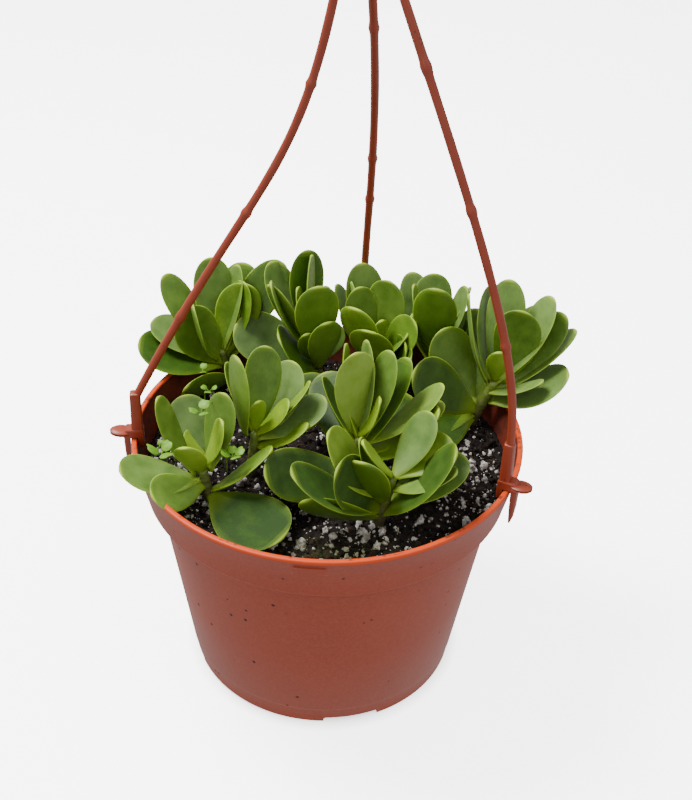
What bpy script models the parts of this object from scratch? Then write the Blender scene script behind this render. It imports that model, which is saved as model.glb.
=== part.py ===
"""Trailing jade in a hanging nursery pot.

A turned plastic pot, clipped by its rim to a three-wire hanger with a hook, holds a disc of
potting soil with nine short shoots.  Each shoot is a stem with thick spoon-shaped leaves.

Lengths below are millimetres and angles are degrees, in a frame that stands on the pot's foot
with +Z up and the pot's axis at X = Y = 0.  Headings run anticlockwise from +X.  The finished
model hangs from its own origin: the point inside the hook that bears on a rail.
"""

import math

import bmesh
import bpy
from mathutils import Matrix, Vector

MM = 0.001

# ---------------------------------------------------------------- pot
RIM_RADIUS = 75.0
POT_HEIGHT = 105.0
WALL = 1.3
LIP_WIDTH = 2.2
LIP_HEIGHT = 1.8
LIP_OVERHANG = 0.4
LIP_ROUNDING = 0.5
BAND_HEIGHT = 20.0
BAND_TAPER = 3.9
BAND_STEP = 4.2
BASE_RADIUS = 54.0
FLOOR_LIFT = 3.0
FLOOR_THICKNESS = 1.5
FOOT_WIDTH = 3.5
DRAIN_SLOTS = 4
DRAIN_SLOT_WIDTH = 22.0
DRAIN_SLOT_HEADING = -76.0
DRAIN_HOLE_RADIUS = 4.0
DRAIN_HOLE_INSET = 10.0
POT_SEGMENTS = 72

# ---------------------------------------------------------------- soil
SOIL_DEPTH_BELOW_RIM = 13.0
SOCKET_DEPTH = 6.0
SOIL_SEGMENTS = 48

# ---------------------------------------------------------------- hanger
WIRE_RADIUS = 1.5
HUB_CENTRE = (4.5, -2.0)
HUB_RISE = 210.0
HUB_RADIUS = 5.0
HUB_THICKNESS = 9.0
HOOK_WIRE_RADIUS = 1.75
HOOK_INNER_RADIUS = 9.0
HOOK_NECK = 6.0
HOOK_START_HEADING = -65.0
HOOK_TIP_HEADING = 215.0
HOOK_STEP = 14.0
CLIP_WIDTH = 4.8
CLIP_JAW = 2.2
CLIP_GRIP_DEPTH = 4.5
CLIP_TAIL_DEPTH = 16.0
CLIP_BRIDGE = 3.6
CLIP_DRAFT = 0.2
TAIL_TIP_HALF_WIDTH = 0.4
POST_RISE = 20.0
TAB_REACH = 8.0
TAB_HALF_WIDTH = 3.4
TAB_THICKNESS = 2.2
WIRE_SEAT = 3.0
WIRE_POINTS = 25
# name: clip heading, then radius, height above the rim and sideways bow of the wire's two shaping points
WIRES = {
    "right": (-25.0, (74.0, 61.0, 0.0), (47.0, 112.0, -0.5)),
    "left": (186.0, (22.4, 118.7, 0.0), (8.6, 102.7, 1.1)),
    "back": (80.0, (61.5, 60.5, 0.0), (42.0, 119.0, -11.7)),
}

# ---------------------------------------------------------------- fits
GAP = 0.3
SOIL_CLEARANCE = 0.5
CLIP_CLEARANCE = 0.5

# ---------------------------------------------------------------- plant
STEM_RADIUS = 2.3
STEM_TIP_RADIUS = 1.7
LEAF_THINNING = 0.5
LEAF_BASE_HALF_WIDTH = 1.7
LEAF_BASE_HALF_DEPTH = 1.3
LEAF_TIP_HALF_WIDTH = 0.5
LEAF_CUP = 0.10
LEAF_ARCH = 0.05
LEAF_SECTION_POINTS = 6
LEAF_STATIONS = (0.0, 0.16, 0.36, 0.58, 0.78, 0.92, 1.0)

# Each shoot: root place (share of the soil's radius, heading), lean of its growing tip (x, y), and
# that tip's height above the rim.
# Each leaf: height above the rim of its place on the stem, heading, pitch, twist, length, width.
# A lying leaf's height is above the soil.  A young leaf has grown into one piece with its stem.
SHOOTS = {
    "back_left": {
        "root": (0.86, 133), "lean": (-4, 0), "tip": 6,
        "leaves": [
            (4.1, 152, 46, 0, 40, 17), (6, 107, 60, 5, 38, 17), (6, 47, 66, -5, 30, 15),
            (4.1, -140, 66, -25, 32, 22), (1.4, 162, 20, 0, 34, 21), (-1.2, -175, 17, -10, 37, 25),
            (0.3, 77, 50, 0, 42, 19),
        ],
    },
    "back_middle": {
        "root": (0.63, 95), "lean": (-4, 0), "tip": 13,
        "leaves": [
            (7.8, 138, 50, 10, 40, 19), (13, 100, 60, 35, 36, 19), (10.4, -75, 78, 0, 32, 18),
            (10.4, -175, 60, 0, 34, 15), (2.6, -70, 65, 10, 28, 15), (0, 160, 5, 0, 34, 21),
        ],
    },
    "back_right_middle": {
        "root": (0.71, 65), "lean": (-3, 0), "tip": 9,
        "leaves": [
            (4.6, 115, 60, 5, 39, 18), (6.8, 160, 72, -40, 30, 15), (9, 60, 75, 0, 29, 17),
            (6.8, -145, 65, 20, 28, 19), (2.4, -110, 60, 0, 26, 19),
        ],
        "young": [(4.6, -26, 50, 10, 20, 14)],
    },
    "back_right": {
        "root": (0.88, 47), "lean": (-1, 0), "tip": 13,
        "leaves": [
            (2.6, 112, 47, 0, 39, 15), (10.4, 92, 58, 0, 30, 16), (10.4, -95, 75, -10, 34, 18),
            (10.4, 45, 45, -50, 29, 15),
        ],
        "young": [(3.6, -178, 66, -10, 24, 12)],
    },
    "right": {
        "root": (0.885, 23), "lean": (8, 0), "tip": 9,
        "leaves": [
            (-4.2, 157, 60, -40, 37, 20), (9, 150, 68, 30, 38, 14), (-2.9, 97, 45, 0, 40, 18),
            (8.6, 78, 57, -10, 41, 16), (9, 20, 74, 55, 32, 19), (5.5, 42, 45, 0, 39, 18),
            (2.8, 17, 36, -15, 43, 17), (-0.2, -10, 29, 5, 36, 24),
        ],
    },
    "front_left": {
        "root": (0.74, -146), "lean": (-2, 0), "tip": 2,
        "leaves": [
            (-1, 112, 42, 0, 31, 17), (0.5, 165, 62, 0, 34, 13), (0.5, 55, 65, 0, 31, 14),
            (-2.5, -165, 17, 0, 32, 23), (-7, 0, 38, -10, 31, 15),
        ],
        "lying": [(4, -44, 4, 16, 41, 26)],
        "young": [(2, 15, 70, 5, 22, 12), (0.5, -135, 62, 35, 18, 12)],
    },
    "front_left_middle": {
        "root": (0.45, -156), "lean": (2, 0), "tip": 8,
        "leaves": [
            (8, -170, 80, 20, 34, 18), (8, 80, 60, 20, 32, 14), (3.8, 55, 45, 0, 33, 17),
            (1.7, -10, 30, 0, 24, 12),
        ],
        "young": [(5.9, 2, 50, 5, 20, 12)],
    },
    "front_middle": {
        "root": (0.33, -59), "lean": (0, 0), "tip": 12,
        "leaves": [
            (12, 115, 80, 10, 34, 18), (12, 55, 58, -20, 34, 15), (9, 20, 33, -15, 38, 18),
            (2, 0, 40, 0, 37, 20),
        ],
        "young": [(12, -15, 70, 15, 20, 11)],
    },
    "front_right": {
        "root": (0.61, -62), "lean": (4, 0), "tip": 8,
        "leaves": [
            (8, 35, 20, 0, 26, 19), (3.8, -20, 30, 0, 28, 14), (-6.7, 35, 15, 0, 38, 22),
            (-0.4, 175, 50, -5, 34, 22),
        ],
        "young": [(8, -175, 55, 0, 20, 9)],
    },
}

# ---------------------------------------------------------------- finishes (colour, roughness)
POT_PLASTIC = ((0.36, 0.085, 0.05), 0.45)
HANGER_PLASTIC = ((0.30, 0.06, 0.03), 0.4)
SOIL_FINISH = ((0.03, 0.02, 0.015), 0.95)
STEM_FINISH = ((0.10, 0.14, 0.03), 0.5)
LEAF_FINISH = ((0.10, 0.22, 0.03), 0.35)


# ---------------------------------------------------------------- scene helpers
def clear_scene():
    for obj in list(bpy.data.objects):
        bpy.data.objects.remove(obj, do_unlink=True)


def new_collection(name):
    collection = bpy.data.collections.new(name)
    bpy.context.scene.collection.children.link(collection)
    return collection


def material(name, finish):
    colour, roughness = finish
    made = bpy.data.materials.new(name)
    made.use_nodes = True
    shader = made.node_tree.nodes["Principled BSDF"]
    shader.inputs["Base Color"].default_value = (*colour, 1.0)
    shader.inputs["Roughness"].default_value = roughness
    shader.inputs["Metallic"].default_value = 0.0
    return made


def add_object(name, data, collection):
    obj = bpy.data.objects.new(name, data)
    collection.objects.link(obj)
    return obj


def add_bmesh(name, build, collection):
    """An object from a function that fills a bmesh, in millimetres."""
    bm = bmesh.new()
    build(bm)
    bmesh.ops.scale(bm, vec=(MM, MM, MM), verts=bm.verts)
    bmesh.ops.recalc_face_normals(bm, faces=bm.faces)
    mesh = bpy.data.meshes.new(name)
    bm.to_mesh(mesh)
    bm.free()
    return add_object(name, mesh, collection)


def turned(name, profile, segments, collection):
    """A closed turned body.  The profile starts and ends on the axis."""
    mesh = bpy.data.meshes.new(name)
    points = [(r * MM, 0.0, z * MM) for r, z in profile]
    mesh.from_pydata(points, [(i, i + 1) for i in range(len(points) - 1)], [])
    obj = add_object(name, mesh, collection)
    screw = obj.modifiers.new("Turn", "SCREW")
    screw.steps = segments
    screw.render_steps = segments
    screw.use_merge_vertices = True
    screw.merge_threshold = 1e-5
    return obj


def wire(name, points, radii, collection):
    """A round bar along the points, as a mesh with its caps welded."""
    curve = bpy.data.curves.new(name, "CURVE")
    curve.dimensions = "3D"
    curve.bevel_depth = MM
    curve.bevel_resolution = 2
    curve.use_fill_caps = True
    spline = curve.splines.new("POLY")
    spline.points.add(len(points) - 1)
    for point, place, radius in zip(spline.points, points, radii):
        point.co = (place[0] * MM, place[1] * MM, place[2] * MM, 1.0)
        point.radius = radius
    guide = add_object(name + "_curve", curve, collection)
    bpy.context.view_layer.update()
    graph = bpy.context.evaluated_depsgraph_get()
    mesh = bpy.data.meshes.new_from_object(guide.evaluated_get(graph))
    bm = bmesh.new()
    bm.from_mesh(mesh)
    bmesh.ops.remove_doubles(bm, verts=bm.verts, dist=1e-6)
    bmesh.ops.recalc_face_normals(bm, faces=bm.faces)
    bm.to_mesh(mesh)
    bm.free()
    obj = add_object(name, mesh, collection)
    obj.matrix_world = guide.matrix_world
    bpy.data.objects.remove(guide, do_unlink=True)
    return obj


def cut_or_join(obj, other, operation):
    boolean = obj.modifiers.new(operation.title(), "BOOLEAN")
    boolean.operation = operation
    boolean.object = other
    boolean.solver = "EXACT"
    other.hide_render = True
    other.display_type = "WIRE"


def finish(obj, look, frame, smooth_angle=40.0):
    """Gives a part its material and smooth shading, and hangs it on the shared frame."""
    obj.data.materials.clear()
    obj.data.materials.append(look)
    obj.data.shade_smooth()
    obj.data.set_sharp_from_angle(angle=math.radians(smooth_angle))
    obj.parent = frame


# ---------------------------------------------------------------- pot
def wall_outer_points():
    """The outer wall below the lip, from top to foot."""
    band_bottom = POT_HEIGHT - BAND_HEIGHT
    wall_top = RIM_RADIUS - LIP_OVERHANG
    return [
        (wall_top, POT_HEIGHT - LIP_HEIGHT),
        (wall_top - BAND_TAPER, band_bottom),
        (wall_top - BAND_TAPER - BAND_STEP, band_bottom),
        (BASE_RADIUS, 0.0),
    ]


def wall_inner_points():
    """The inner wall, from top to floor."""
    lip, band, body, foot = wall_outer_points()
    floor_top = FLOOR_LIFT + FLOOR_THICKNESS
    share = floor_top / body[1]
    return [
        (lip[0] - WALL, lip[1]),
        (band[0] - WALL, band[1] + WALL),
        (body[0] - WALL, body[1] + WALL),
        (foot[0] + (body[0] - foot[0]) * share - WALL, floor_top),
    ]


def pot_profile():
    inner = wall_inner_points()
    outer = wall_outer_points()
    lip_inner = RIM_RADIUS - LIP_WIDTH
    foot_inner = BASE_RADIUS - FOOT_WIDTH
    return [
        (0.0, FLOOR_LIFT + FLOOR_THICKNESS),
        *reversed(inner),
        (lip_inner, POT_HEIGHT - 0.9 * LIP_HEIGHT),
        (lip_inner, POT_HEIGHT - LIP_ROUNDING),
        (lip_inner + LIP_ROUNDING, POT_HEIGHT),
        (RIM_RADIUS - LIP_ROUNDING, POT_HEIGHT),
        (RIM_RADIUS, POT_HEIGHT - LIP_ROUNDING),
        (RIM_RADIUS, POT_HEIGHT - LIP_HEIGHT),
        *outer,
        (foot_inner, 0.0),
        (foot_inner, FLOOR_LIFT),
        (0.0, FLOOR_LIFT),
    ]


def drain_cutter(collection):
    """Slots through the foot, each with a round hole through the floor behind it."""
    def build(bm):
        for i in range(DRAIN_SLOTS):
            turn = Matrix.Rotation(math.radians(DRAIN_SLOT_HEADING + i * 360.0 / DRAIN_SLOTS), 4, "Z")
            slot = Matrix.Diagonal((4 * FOOT_WIDTH, DRAIN_SLOT_WIDTH, 2 * FLOOR_LIFT, 1.0))
            place = Matrix.Translation((BASE_RADIUS, 0.0, -0.2))
            bmesh.ops.create_cube(bm, size=1.0, matrix=turn @ place @ slot)
            hole = Matrix.Translation((BASE_RADIUS - FOOT_WIDTH - DRAIN_HOLE_INSET, 0.0, FLOOR_LIFT))
            bmesh.ops.create_cone(
                bm, cap_ends=True, segments=16, radius1=DRAIN_HOLE_RADIUS, radius2=DRAIN_HOLE_RADIUS,
                depth=6 * FLOOR_THICKNESS, matrix=turn @ hole,
            )
    return add_bmesh("drain_cutter", build, collection)


def make_pot(parts, cutters, frame):
    pot = turned("nursery_pot", pot_profile(), POT_SEGMENTS, parts)
    cutter = drain_cutter(cutters)
    cutter.parent = frame
    cut_or_join(pot, cutter, "DIFFERENCE")
    finish(pot, material("pot_plastic", POT_PLASTIC), frame)


# ---------------------------------------------------------------- soil
def soil_top():
    return POT_HEIGHT - SOIL_DEPTH_BELOW_RIM


def band_inner_radius(z):
    """Radius of the inner wall at a height within the band."""
    lip, band, body, floor = wall_inner_points()
    return band[0] + (lip[0] - band[0]) * (z - band[1]) / (lip[1] - band[1])


def soil_radius():
    return band_inner_radius(soil_top()) - SOIL_CLEARANCE


def soil_profile():
    """Fills the pot to the soil line, a clearance inside its wall."""
    lip, band, body, floor = wall_inner_points()
    return [
        (0.0, soil_top()),
        (soil_radius(), soil_top()),
        (band[0] - SOIL_CLEARANCE, band[1] + GAP),
        (body[0] - SOIL_CLEARANCE, band[1] + GAP),
        (floor[0] - SOIL_CLEARANCE, floor[1] + GAP),
        (0.0, floor[1] + GAP),
    ]


def socket_cutter(collection):
    """The holes in which the stems are rooted."""
    def build(bm):
        for shoot in SHOOTS.values():
            x, y = root_place(shoot)
            radius = STEM_RADIUS + GAP
            bmesh.ops.create_cone(
                bm, cap_ends=True, segments=12, radius1=radius, radius2=radius,
                depth=2 * SOCKET_DEPTH, matrix=Matrix.Translation((x, y, soil_top())),
            )
    return add_bmesh("socket_cutter", build, collection)


def make_soil(parts, cutters, frame):
    soil = turned("potting_soil", soil_profile(), SOIL_SEGMENTS, parts)
    cutter = socket_cutter(cutters)
    cutter.parent = frame
    cut_or_join(soil, cutter, "DIFFERENCE")
    finish(soil, material("potting_soil", SOIL_FINISH), frame)


# ---------------------------------------------------------------- hanger
def bezier(p0, p1, p2, p3, t):
    u = 1.0 - t
    return p0 * u**3 + p1 * (3 * u * u * t) + p2 * (3 * u * t * t) + p3 * t**3


def wire_points(heading, first, second):
    """From inside the clip's post, up and in to the hub."""
    out = Vector((math.cos(math.radians(heading)), math.sin(math.radians(heading)), 0.0))
    up = Vector((0.0, 0.0, 1.0))
    side = up.cross(out)
    hub = Vector((*HUB_CENTRE, hub_height()))
    foot = out * post_radius() + up * (POT_HEIGHT + POST_RISE - WIRE_SEAT)
    shape = [out * radius + up * (POT_HEIGHT + rise) + side * bow for radius, rise, bow in (first, second)]
    steps = WIRE_POINTS - 1
    return [bezier(foot, shape[0], shape[1], hub, i / steps) for i in range(WIRE_POINTS)]


def grip_radius():
    """Outer face of the clip's grip, clear of the lip and of the wall as far down as it reaches."""
    grip_bottom = POT_HEIGHT - CLIP_GRIP_DEPTH
    return min(RIM_RADIUS - LIP_WIDTH, band_inner_radius(grip_bottom)) - CLIP_CLEARANCE


def post_radius():
    return grip_radius() - CLIP_JAW + CLIP_WIDTH / 2


def jaw_outline():
    """The clip's bridge over the lip and its grip inside the wall, as (x, z) with +X outwards."""
    inner = grip_radius()
    outer = RIM_RADIUS + CLIP_CLEARANCE
    over_rim = POT_HEIGHT + GAP
    bridge_top = over_rim + CLIP_BRIDGE
    return [
        (inner - CLIP_JAW, POT_HEIGHT - CLIP_GRIP_DEPTH),
        (inner, POT_HEIGHT - CLIP_GRIP_DEPTH),
        (inner, over_rim),
        (outer + CLIP_JAW, over_rim),
        (outer + CLIP_JAW, bridge_top),
        (inner - CLIP_JAW, bridge_top),
    ]


def tail_sections():
    """The pointed tail outside the wall, as (x low, x high, half breadth, z)."""
    outer = RIM_RADIUS + CLIP_CLEARANCE
    top = POT_HEIGHT + GAP + 0.6 * CLIP_BRIDGE
    shoulder = POT_HEIGHT - 0.4 * CLIP_TAIL_DEPTH
    face = outer + CLIP_JAW - CLIP_DRAFT
    return [
        (outer, face, CLIP_WIDTH / 2 - CLIP_DRAFT, top),
        (outer, face, CLIP_WIDTH / 2 - 2 * CLIP_DRAFT, shoulder),
        (outer, outer + 0.5 * CLIP_JAW, TAIL_TIP_HALF_WIDTH, POT_HEIGHT - CLIP_TAIL_DEPTH),
    ]


def loft(bm, rings):
    """Closed body through rings of points, each ring a list of as many vectors."""
    rows = [[bm.verts.new(point) for point in ring] for ring in rings]
    count = len(rows[0])
    for low, high in zip(rows, rows[1:]):
        for i in range(count):
            j = (i + 1) % count
            bm.faces.new((low[i], low[j], high[j], high[i]))
    bm.faces.new(rows[0])
    bm.faces.new(rows[-1])


def make_clip(name, heading, collection):
    """One snap clip: a bridge over the lip, a grip inside, a tail outside, a post and a tab."""
    turn = Matrix.Rotation(math.radians(heading), 4, "Z")
    half = CLIP_WIDTH / 2

    def build_jaw(bm):
        loft(bm, [[turn @ Vector((x, y, z)) for x, z in jaw_outline()] for y in (half, -half)])

    def build_post(bm):
        side = CLIP_WIDTH - 2 * CLIP_DRAFT
        low = POT_HEIGHT + GAP + 0.3 * CLIP_BRIDGE
        high = POT_HEIGHT + POST_RISE
        place = Matrix.Translation((post_radius(), 0.0, (low + high) / 2))
        shape = Matrix.Diagonal((side, side, high - low, 1.0))
        bmesh.ops.create_cube(bm, size=1.0, matrix=turn @ place @ shape)

    def build_tail(bm):
        rings = []
        for x0, x1, h, z in tail_sections():
            rings.append([turn @ Vector(c) for c in ((x0, -h, z), (x1, -h, z), (x1, h, z), (x0, h, z))])
        loft(bm, rings)

    def build_tab(bm):
        reach = RIM_RADIUS + CLIP_CLEARANCE + 0.5 * TAB_REACH
        place = Matrix.Translation((reach, 0.0, POT_HEIGHT + GAP + 0.5 * CLIP_BRIDGE))
        shape = Matrix.Diagonal((0.62 * TAB_REACH, TAB_HALF_WIDTH, 0.5 * TAB_THICKNESS, 1.0))
        bmesh.ops.create_uvsphere(bm, u_segments=12, v_segments=6, radius=1.0, matrix=turn @ place @ shape)

    builds = {"jaw": build_jaw, "post": build_post, "tail": build_tail, "tab": build_tab}
    return [add_bmesh(f"{name}_{part}", build, collection) for part, build in builds.items()]


def hub_height():
    return POT_HEIGHT + HUB_RISE


def hook_points():
    """Up from the hub and round the hook to its open tip."""
    radius = HOOK_INNER_RADIUS + HOOK_WIRE_RADIUS
    x, y = HUB_CENTRE
    centre_z = hang_height() - HOOK_INNER_RADIUS
    neck_top = hub_height() + 0.5 * HUB_THICKNESS
    points = [Vector((x, y, hub_height())), Vector((x, y, neck_top))]
    heading = HOOK_START_HEADING
    while heading <= HOOK_TIP_HEADING:
        turn = math.radians(heading)
        points.append(Vector((x + radius * math.cos(turn), y, centre_z + radius * math.sin(turn))))
        heading += HOOK_STEP
    return points


def hang_height():
    """Height above the foot of the point where the hook bears on its rail."""
    hook_bottom = hub_height() + 0.5 * HUB_THICKNESS + HOOK_NECK
    return hook_bottom + 2 * (HOOK_INNER_RADIUS + HOOK_WIRE_RADIUS)


def make_hanger(parts, cutters, frame):
    def build_hub(bm):
        bmesh.ops.create_cone(
            bm, cap_ends=True, segments=16, radius1=HUB_RADIUS, radius2=0.7 * HUB_RADIUS,
            depth=HUB_THICKNESS, matrix=Matrix.Translation((*HUB_CENTRE, hub_height())),
        )
    hanger = add_bmesh("wire_hanger", build_hub, parts)
    points = hook_points()
    pieces = [wire("hook", points, [HOOK_WIRE_RADIUS] * len(points), cutters)]
    for name, (heading, first, second) in WIRES.items():
        points = wire_points(heading, first, second)
        pieces.append(wire(f"wire_{name}", points, [WIRE_RADIUS] * len(points), cutters))
        pieces += make_clip(f"clip_{name}", heading, cutters)
    for piece in pieces:
        piece.parent = frame
        cut_or_join(hanger, piece, "UNION")
    finish(hanger, material("hanger_plastic", HANGER_PLASTIC), frame)


# ---------------------------------------------------------------- shoots
def root_place(shoot):
    share, heading = shoot["root"]
    radius = share * soil_radius()
    return radius * math.cos(math.radians(heading)), radius * math.sin(math.radians(heading))


def stem_points(shoot):
    """Root in its socket, soil line, half way up, and the growing tip."""
    x, y = root_place(shoot)
    dx, dy = shoot["lean"]
    line = Vector((x, y, soil_top()))
    tip = Vector((x + dx, y + dy, POT_HEIGHT + shoot["tip"]))
    return [line - Vector((0, 0, SOCKET_DEPTH - GAP)), line, line.lerp(tip, 0.5), tip]


def stem_node(shoot, height):
    """The point on the stem at this height above the rim."""
    root, line, middle, tip = stem_points(shoot)
    return line.lerp(tip, (POT_HEIGHT + height - line.z) / (tip.z - line.z))


def direction(heading, pitch):
    heading, pitch = math.radians(heading), math.radians(pitch)
    flat = math.cos(pitch)
    return Vector((flat * math.cos(heading), flat * math.sin(heading), math.sin(pitch)))


def leaf_half_width(t, width):
    """Spoon outline: a wedge from the stalk end to the widest point, then a round tip."""
    rise, fall = 0.95, 0.5
    widest = rise / (rise + fall)
    peak = widest**rise * (1 - widest) ** fall
    blade = 0.5 * width * t**rise * (1 - t) ** fall / peak
    stalk = LEAF_BASE_HALF_WIDTH * (1 - t) ** 0.6
    return math.hypot(blade, stalk)


def leaf_ring(t, length, width):
    """Section of the leaf at t, with +X along it and +Z out of its upper face."""
    half = max(leaf_half_width(t, width), LEAF_TIP_HALF_WIDTH)
    depth = LEAF_BASE_HALF_DEPTH * (1 - LEAF_THINNING * t)
    arch = -LEAF_ARCH * length * 4 * t * (1 - t)
    ring = []
    for i in range(LEAF_SECTION_POINTS):
        turn = 2 * math.pi * i / LEAF_SECTION_POINTS
        across = math.cos(turn)
        cup = LEAF_CUP * half * across * across
        ring.append(Vector((t * length, half * across, arch + cup + depth * math.sin(turn))))
    return ring


def leaf_matrix(base, tip, twist):
    along = (tip - base).normalized()
    side = Vector((0.0, 0.0, 1.0)).cross(along).normalized()
    face = along.cross(side)
    turn = Matrix((along, side, face)).transposed().to_4x4()
    return Matrix.Translation(base * MM) @ turn @ Matrix.Rotation(math.radians(twist), 4, "X")


def make_leaf(name, shoot, leaf, rooted, collection):
    """A leaf that stops a gap short of its stem or, when rooted, runs into it."""
    height, heading, pitch, twist, length, width = leaf
    node = stem_node(shoot, height)
    tip = node + direction(heading, pitch) * length
    clear = 0.0 if rooted else STEM_RADIUS + GAP + LEAF_BASE_HALF_DEPTH * math.sin(math.radians(pitch))
    base = node + direction(heading, 0.0) * clear
    reach = (tip - base).length

    def build(bm):
        loft(bm, [leaf_ring(t, reach, width) for t in LEAF_STATIONS])
    obj = add_bmesh(name, build, collection)
    obj.matrix_local = leaf_matrix(base, tip, twist)
    return obj


def make_shoot(name, shoot, parts, cutters, frame, looks):
    points = stem_points(shoot)
    radii = [STEM_RADIUS, STEM_RADIUS, STEM_RADIUS, STEM_TIP_RADIUS]
    stem = wire(f"{name}_stem", points, radii, parts)
    for i, leaf in enumerate(shoot.get("young", []), 1):
        young = make_leaf(f"{name}_young_leaf_{i}", shoot, leaf, True, cutters)
        young.parent = frame
        cut_or_join(stem, young, "UNION")
    finish(stem, looks["stem"], frame)
    lying = [(height - SOIL_DEPTH_BELOW_RIM, *rest) for height, *rest in shoot.get("lying", [])]
    for i, leaf in enumerate(shoot["leaves"] + lying, 1):
        obj = make_leaf(f"{name}_leaf_{i}", shoot, leaf, False, parts)
        finish(obj, looks["leaf"], frame, smooth_angle=60.0)


def main():
    clear_scene()
    parts = new_collection("potted_trailing_jade")
    cutters = new_collection("cutters")
    frame = add_object("pot_frame", None, parts)
    frame.location = (-HUB_CENTRE[0] * MM, -HUB_CENTRE[1] * MM, -hang_height() * MM)
    make_pot(parts, cutters, frame)
    make_soil(parts, cutters, frame)
    make_hanger(parts, cutters, frame)
    looks = {"stem": material("stem", STEM_FINISH), "leaf": material("leaf", LEAF_FINISH)}
    for name, shoot in SHOOTS.items():
        make_shoot(name, shoot, parts, cutters, frame, looks)


main()
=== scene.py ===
"""Trailing jade in a hanging nursery pot: the finished surfaces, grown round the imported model.

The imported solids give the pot's axis, rim and height, the soil line, the height of the hook, and the lie
of each modelled leaf.  The other measures below are the solids' own.  Pieces are made in millimetres in
the pot's frame: origin at the middle of the foot, +Z up, headings in degrees anticlockwise from +X.
Piece.make sets them down in the model's frame, in metres.
"""

import math

import bmesh
import bpy
import numpy as np
from mathutils import Euler, Matrix, Vector, noise


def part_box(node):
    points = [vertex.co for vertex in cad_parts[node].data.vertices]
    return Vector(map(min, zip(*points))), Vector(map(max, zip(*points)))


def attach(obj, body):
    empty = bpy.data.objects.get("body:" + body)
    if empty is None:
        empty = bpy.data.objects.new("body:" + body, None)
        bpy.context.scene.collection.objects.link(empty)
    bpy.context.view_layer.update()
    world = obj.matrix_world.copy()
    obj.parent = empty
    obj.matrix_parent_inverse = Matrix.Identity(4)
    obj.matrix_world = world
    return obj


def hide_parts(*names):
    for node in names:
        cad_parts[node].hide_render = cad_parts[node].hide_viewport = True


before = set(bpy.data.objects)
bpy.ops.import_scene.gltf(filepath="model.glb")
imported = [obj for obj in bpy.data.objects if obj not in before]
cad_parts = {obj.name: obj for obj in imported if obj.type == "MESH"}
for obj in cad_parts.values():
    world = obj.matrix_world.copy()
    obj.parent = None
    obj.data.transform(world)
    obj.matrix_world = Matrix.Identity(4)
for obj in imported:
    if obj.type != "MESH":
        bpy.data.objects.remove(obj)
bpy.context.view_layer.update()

MM = 0.001
rng = np.random.default_rng(20)

# ---------------------------------------------------------------- places read from the model
pot_low, pot_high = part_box("nursery_pot")
soil_low, soil_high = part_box("potting_soil")
FOOT = Vector(((pot_low.x + pot_high.x) / 2, (pot_low.y + pot_high.y) / 2, pot_low.z))
RIM = (pot_high.x - pot_low.x) / 2 / MM
HEIGHT = (pot_high.z - pot_low.z) / MM
SOIL_RADIUS = (soil_high.x - soil_low.x) / 2 / MM
SOIL_TOP = (soil_high.z - pot_low.z) / MM
HANG = -pot_low.z / MM

# ---------------------------------------------------------------- pot
WALL = 1.3
LIP_WIDTH = 2.2
LIP_HEIGHT = 1.8
LIP_OVERHANG = 0.4
BAND_HEIGHT = 20.0
BAND_TAPER = 3.9
BAND_STEP = 4.2
BASE_RADIUS = 54.0
RING_HEIGHT = 8.5
FOOT_WIDTH = 3.5
FLOOR_LIFT = 3.0
FLOOR_THICKNESS = 1.5
DRAIN_HEADINGS = (-76.0, 14.0, 104.0, 194.0)
DRAIN_SLOT_WIDTH = 22.0
DRAIN_HOLE_RADIUS = 4.0
DRAIN_HOLE_INSET = 10.0
POT_SEGMENTS = 240
MARK_HEADINGS = (-97.6, -88.3)
MARK_DROP = (3.2, 7.2)
MARK_RISE = 0.42

# ---------------------------------------------------------------- hanger
WIRE_RADIUS = 1.5
HUB_CENTRE = (4.5, -2.0)
HUB_HEIGHT = HEIGHT + 210.0
HUB_RADIUS = 5.0
HUB_THICKNESS = 9.0
HOOK_WIRE_RADIUS = 1.75
HOOK_INNER_RADIUS = 9.0
HOOK_RADIUS = HOOK_INNER_RADIUS + HOOK_WIRE_RADIUS
HOOK_TURN = (-65.0, 215.0)
CLIP_WIDTH = 4.8
CLIP_JAW = 2.2
CLIP_BRIDGE = 3.6
CLIP_GRIP_DEPTH = 4.5
CLIP_TAIL_DEPTH = 16.0
CLIP_CLEARANCE = 0.5
POST_WIDTHS = (4.5, 3.9)
POST_RISE = 20.0
BEAD_SWELL = 0.30
BEAD_LENGTH = 0.007
# clip heading; radius, rise and sideways bow of the two shaping points; places of the moulding beads
WIRES = {
    "right": (-25.0, (74.0, 61.0, 0.0), (47.0, 112.0, -0.5), (0.298, 0.570, 0.778)),
    "left": (186.0, (22.4, 118.7, 0.0), (8.6, 102.7, 1.1), (0.136, 0.370, 0.700)),
    "back": (80.0, (61.5, 60.5, 0.0), (42.0, 119.0, -11.7), (0.364, 0.479, 0.760)),
}

# ---------------------------------------------------------------- shoots
STEM_RADIUS = 2.3
STEM_TIP_RADIUS = 1.7
LEAF_BASE_HALF_WIDTH = 1.7
LEAF_HALF_DEPTH = 1.2
SOCKET_DEPTH = 5.7

# root (share of the soil's radius, heading), lean of the tip (x, y), height of the tip above the rim
STEMS = {
    "back_left": ((0.86, 133), (-4, 0), 6),
    "back_middle": ((0.63, 95), (-4, 0), 13),
    "back_right_middle": ((0.71, 65), (-3, 0), 9),
    "back_right": ((0.88, 47), (-1, 0), 13),
    "right": ((0.885, 23), (8, 0), 9),
    "front_left": ((0.74, -146), (-2, 0), 2),
    "front_left_middle": ((0.45, -156), (2, 0), 8),
    "front_middle": ((0.33, -59), (0, 0), 12),
    "front_right": ((0.61, -62), (4, 0), 8),
}

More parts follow.
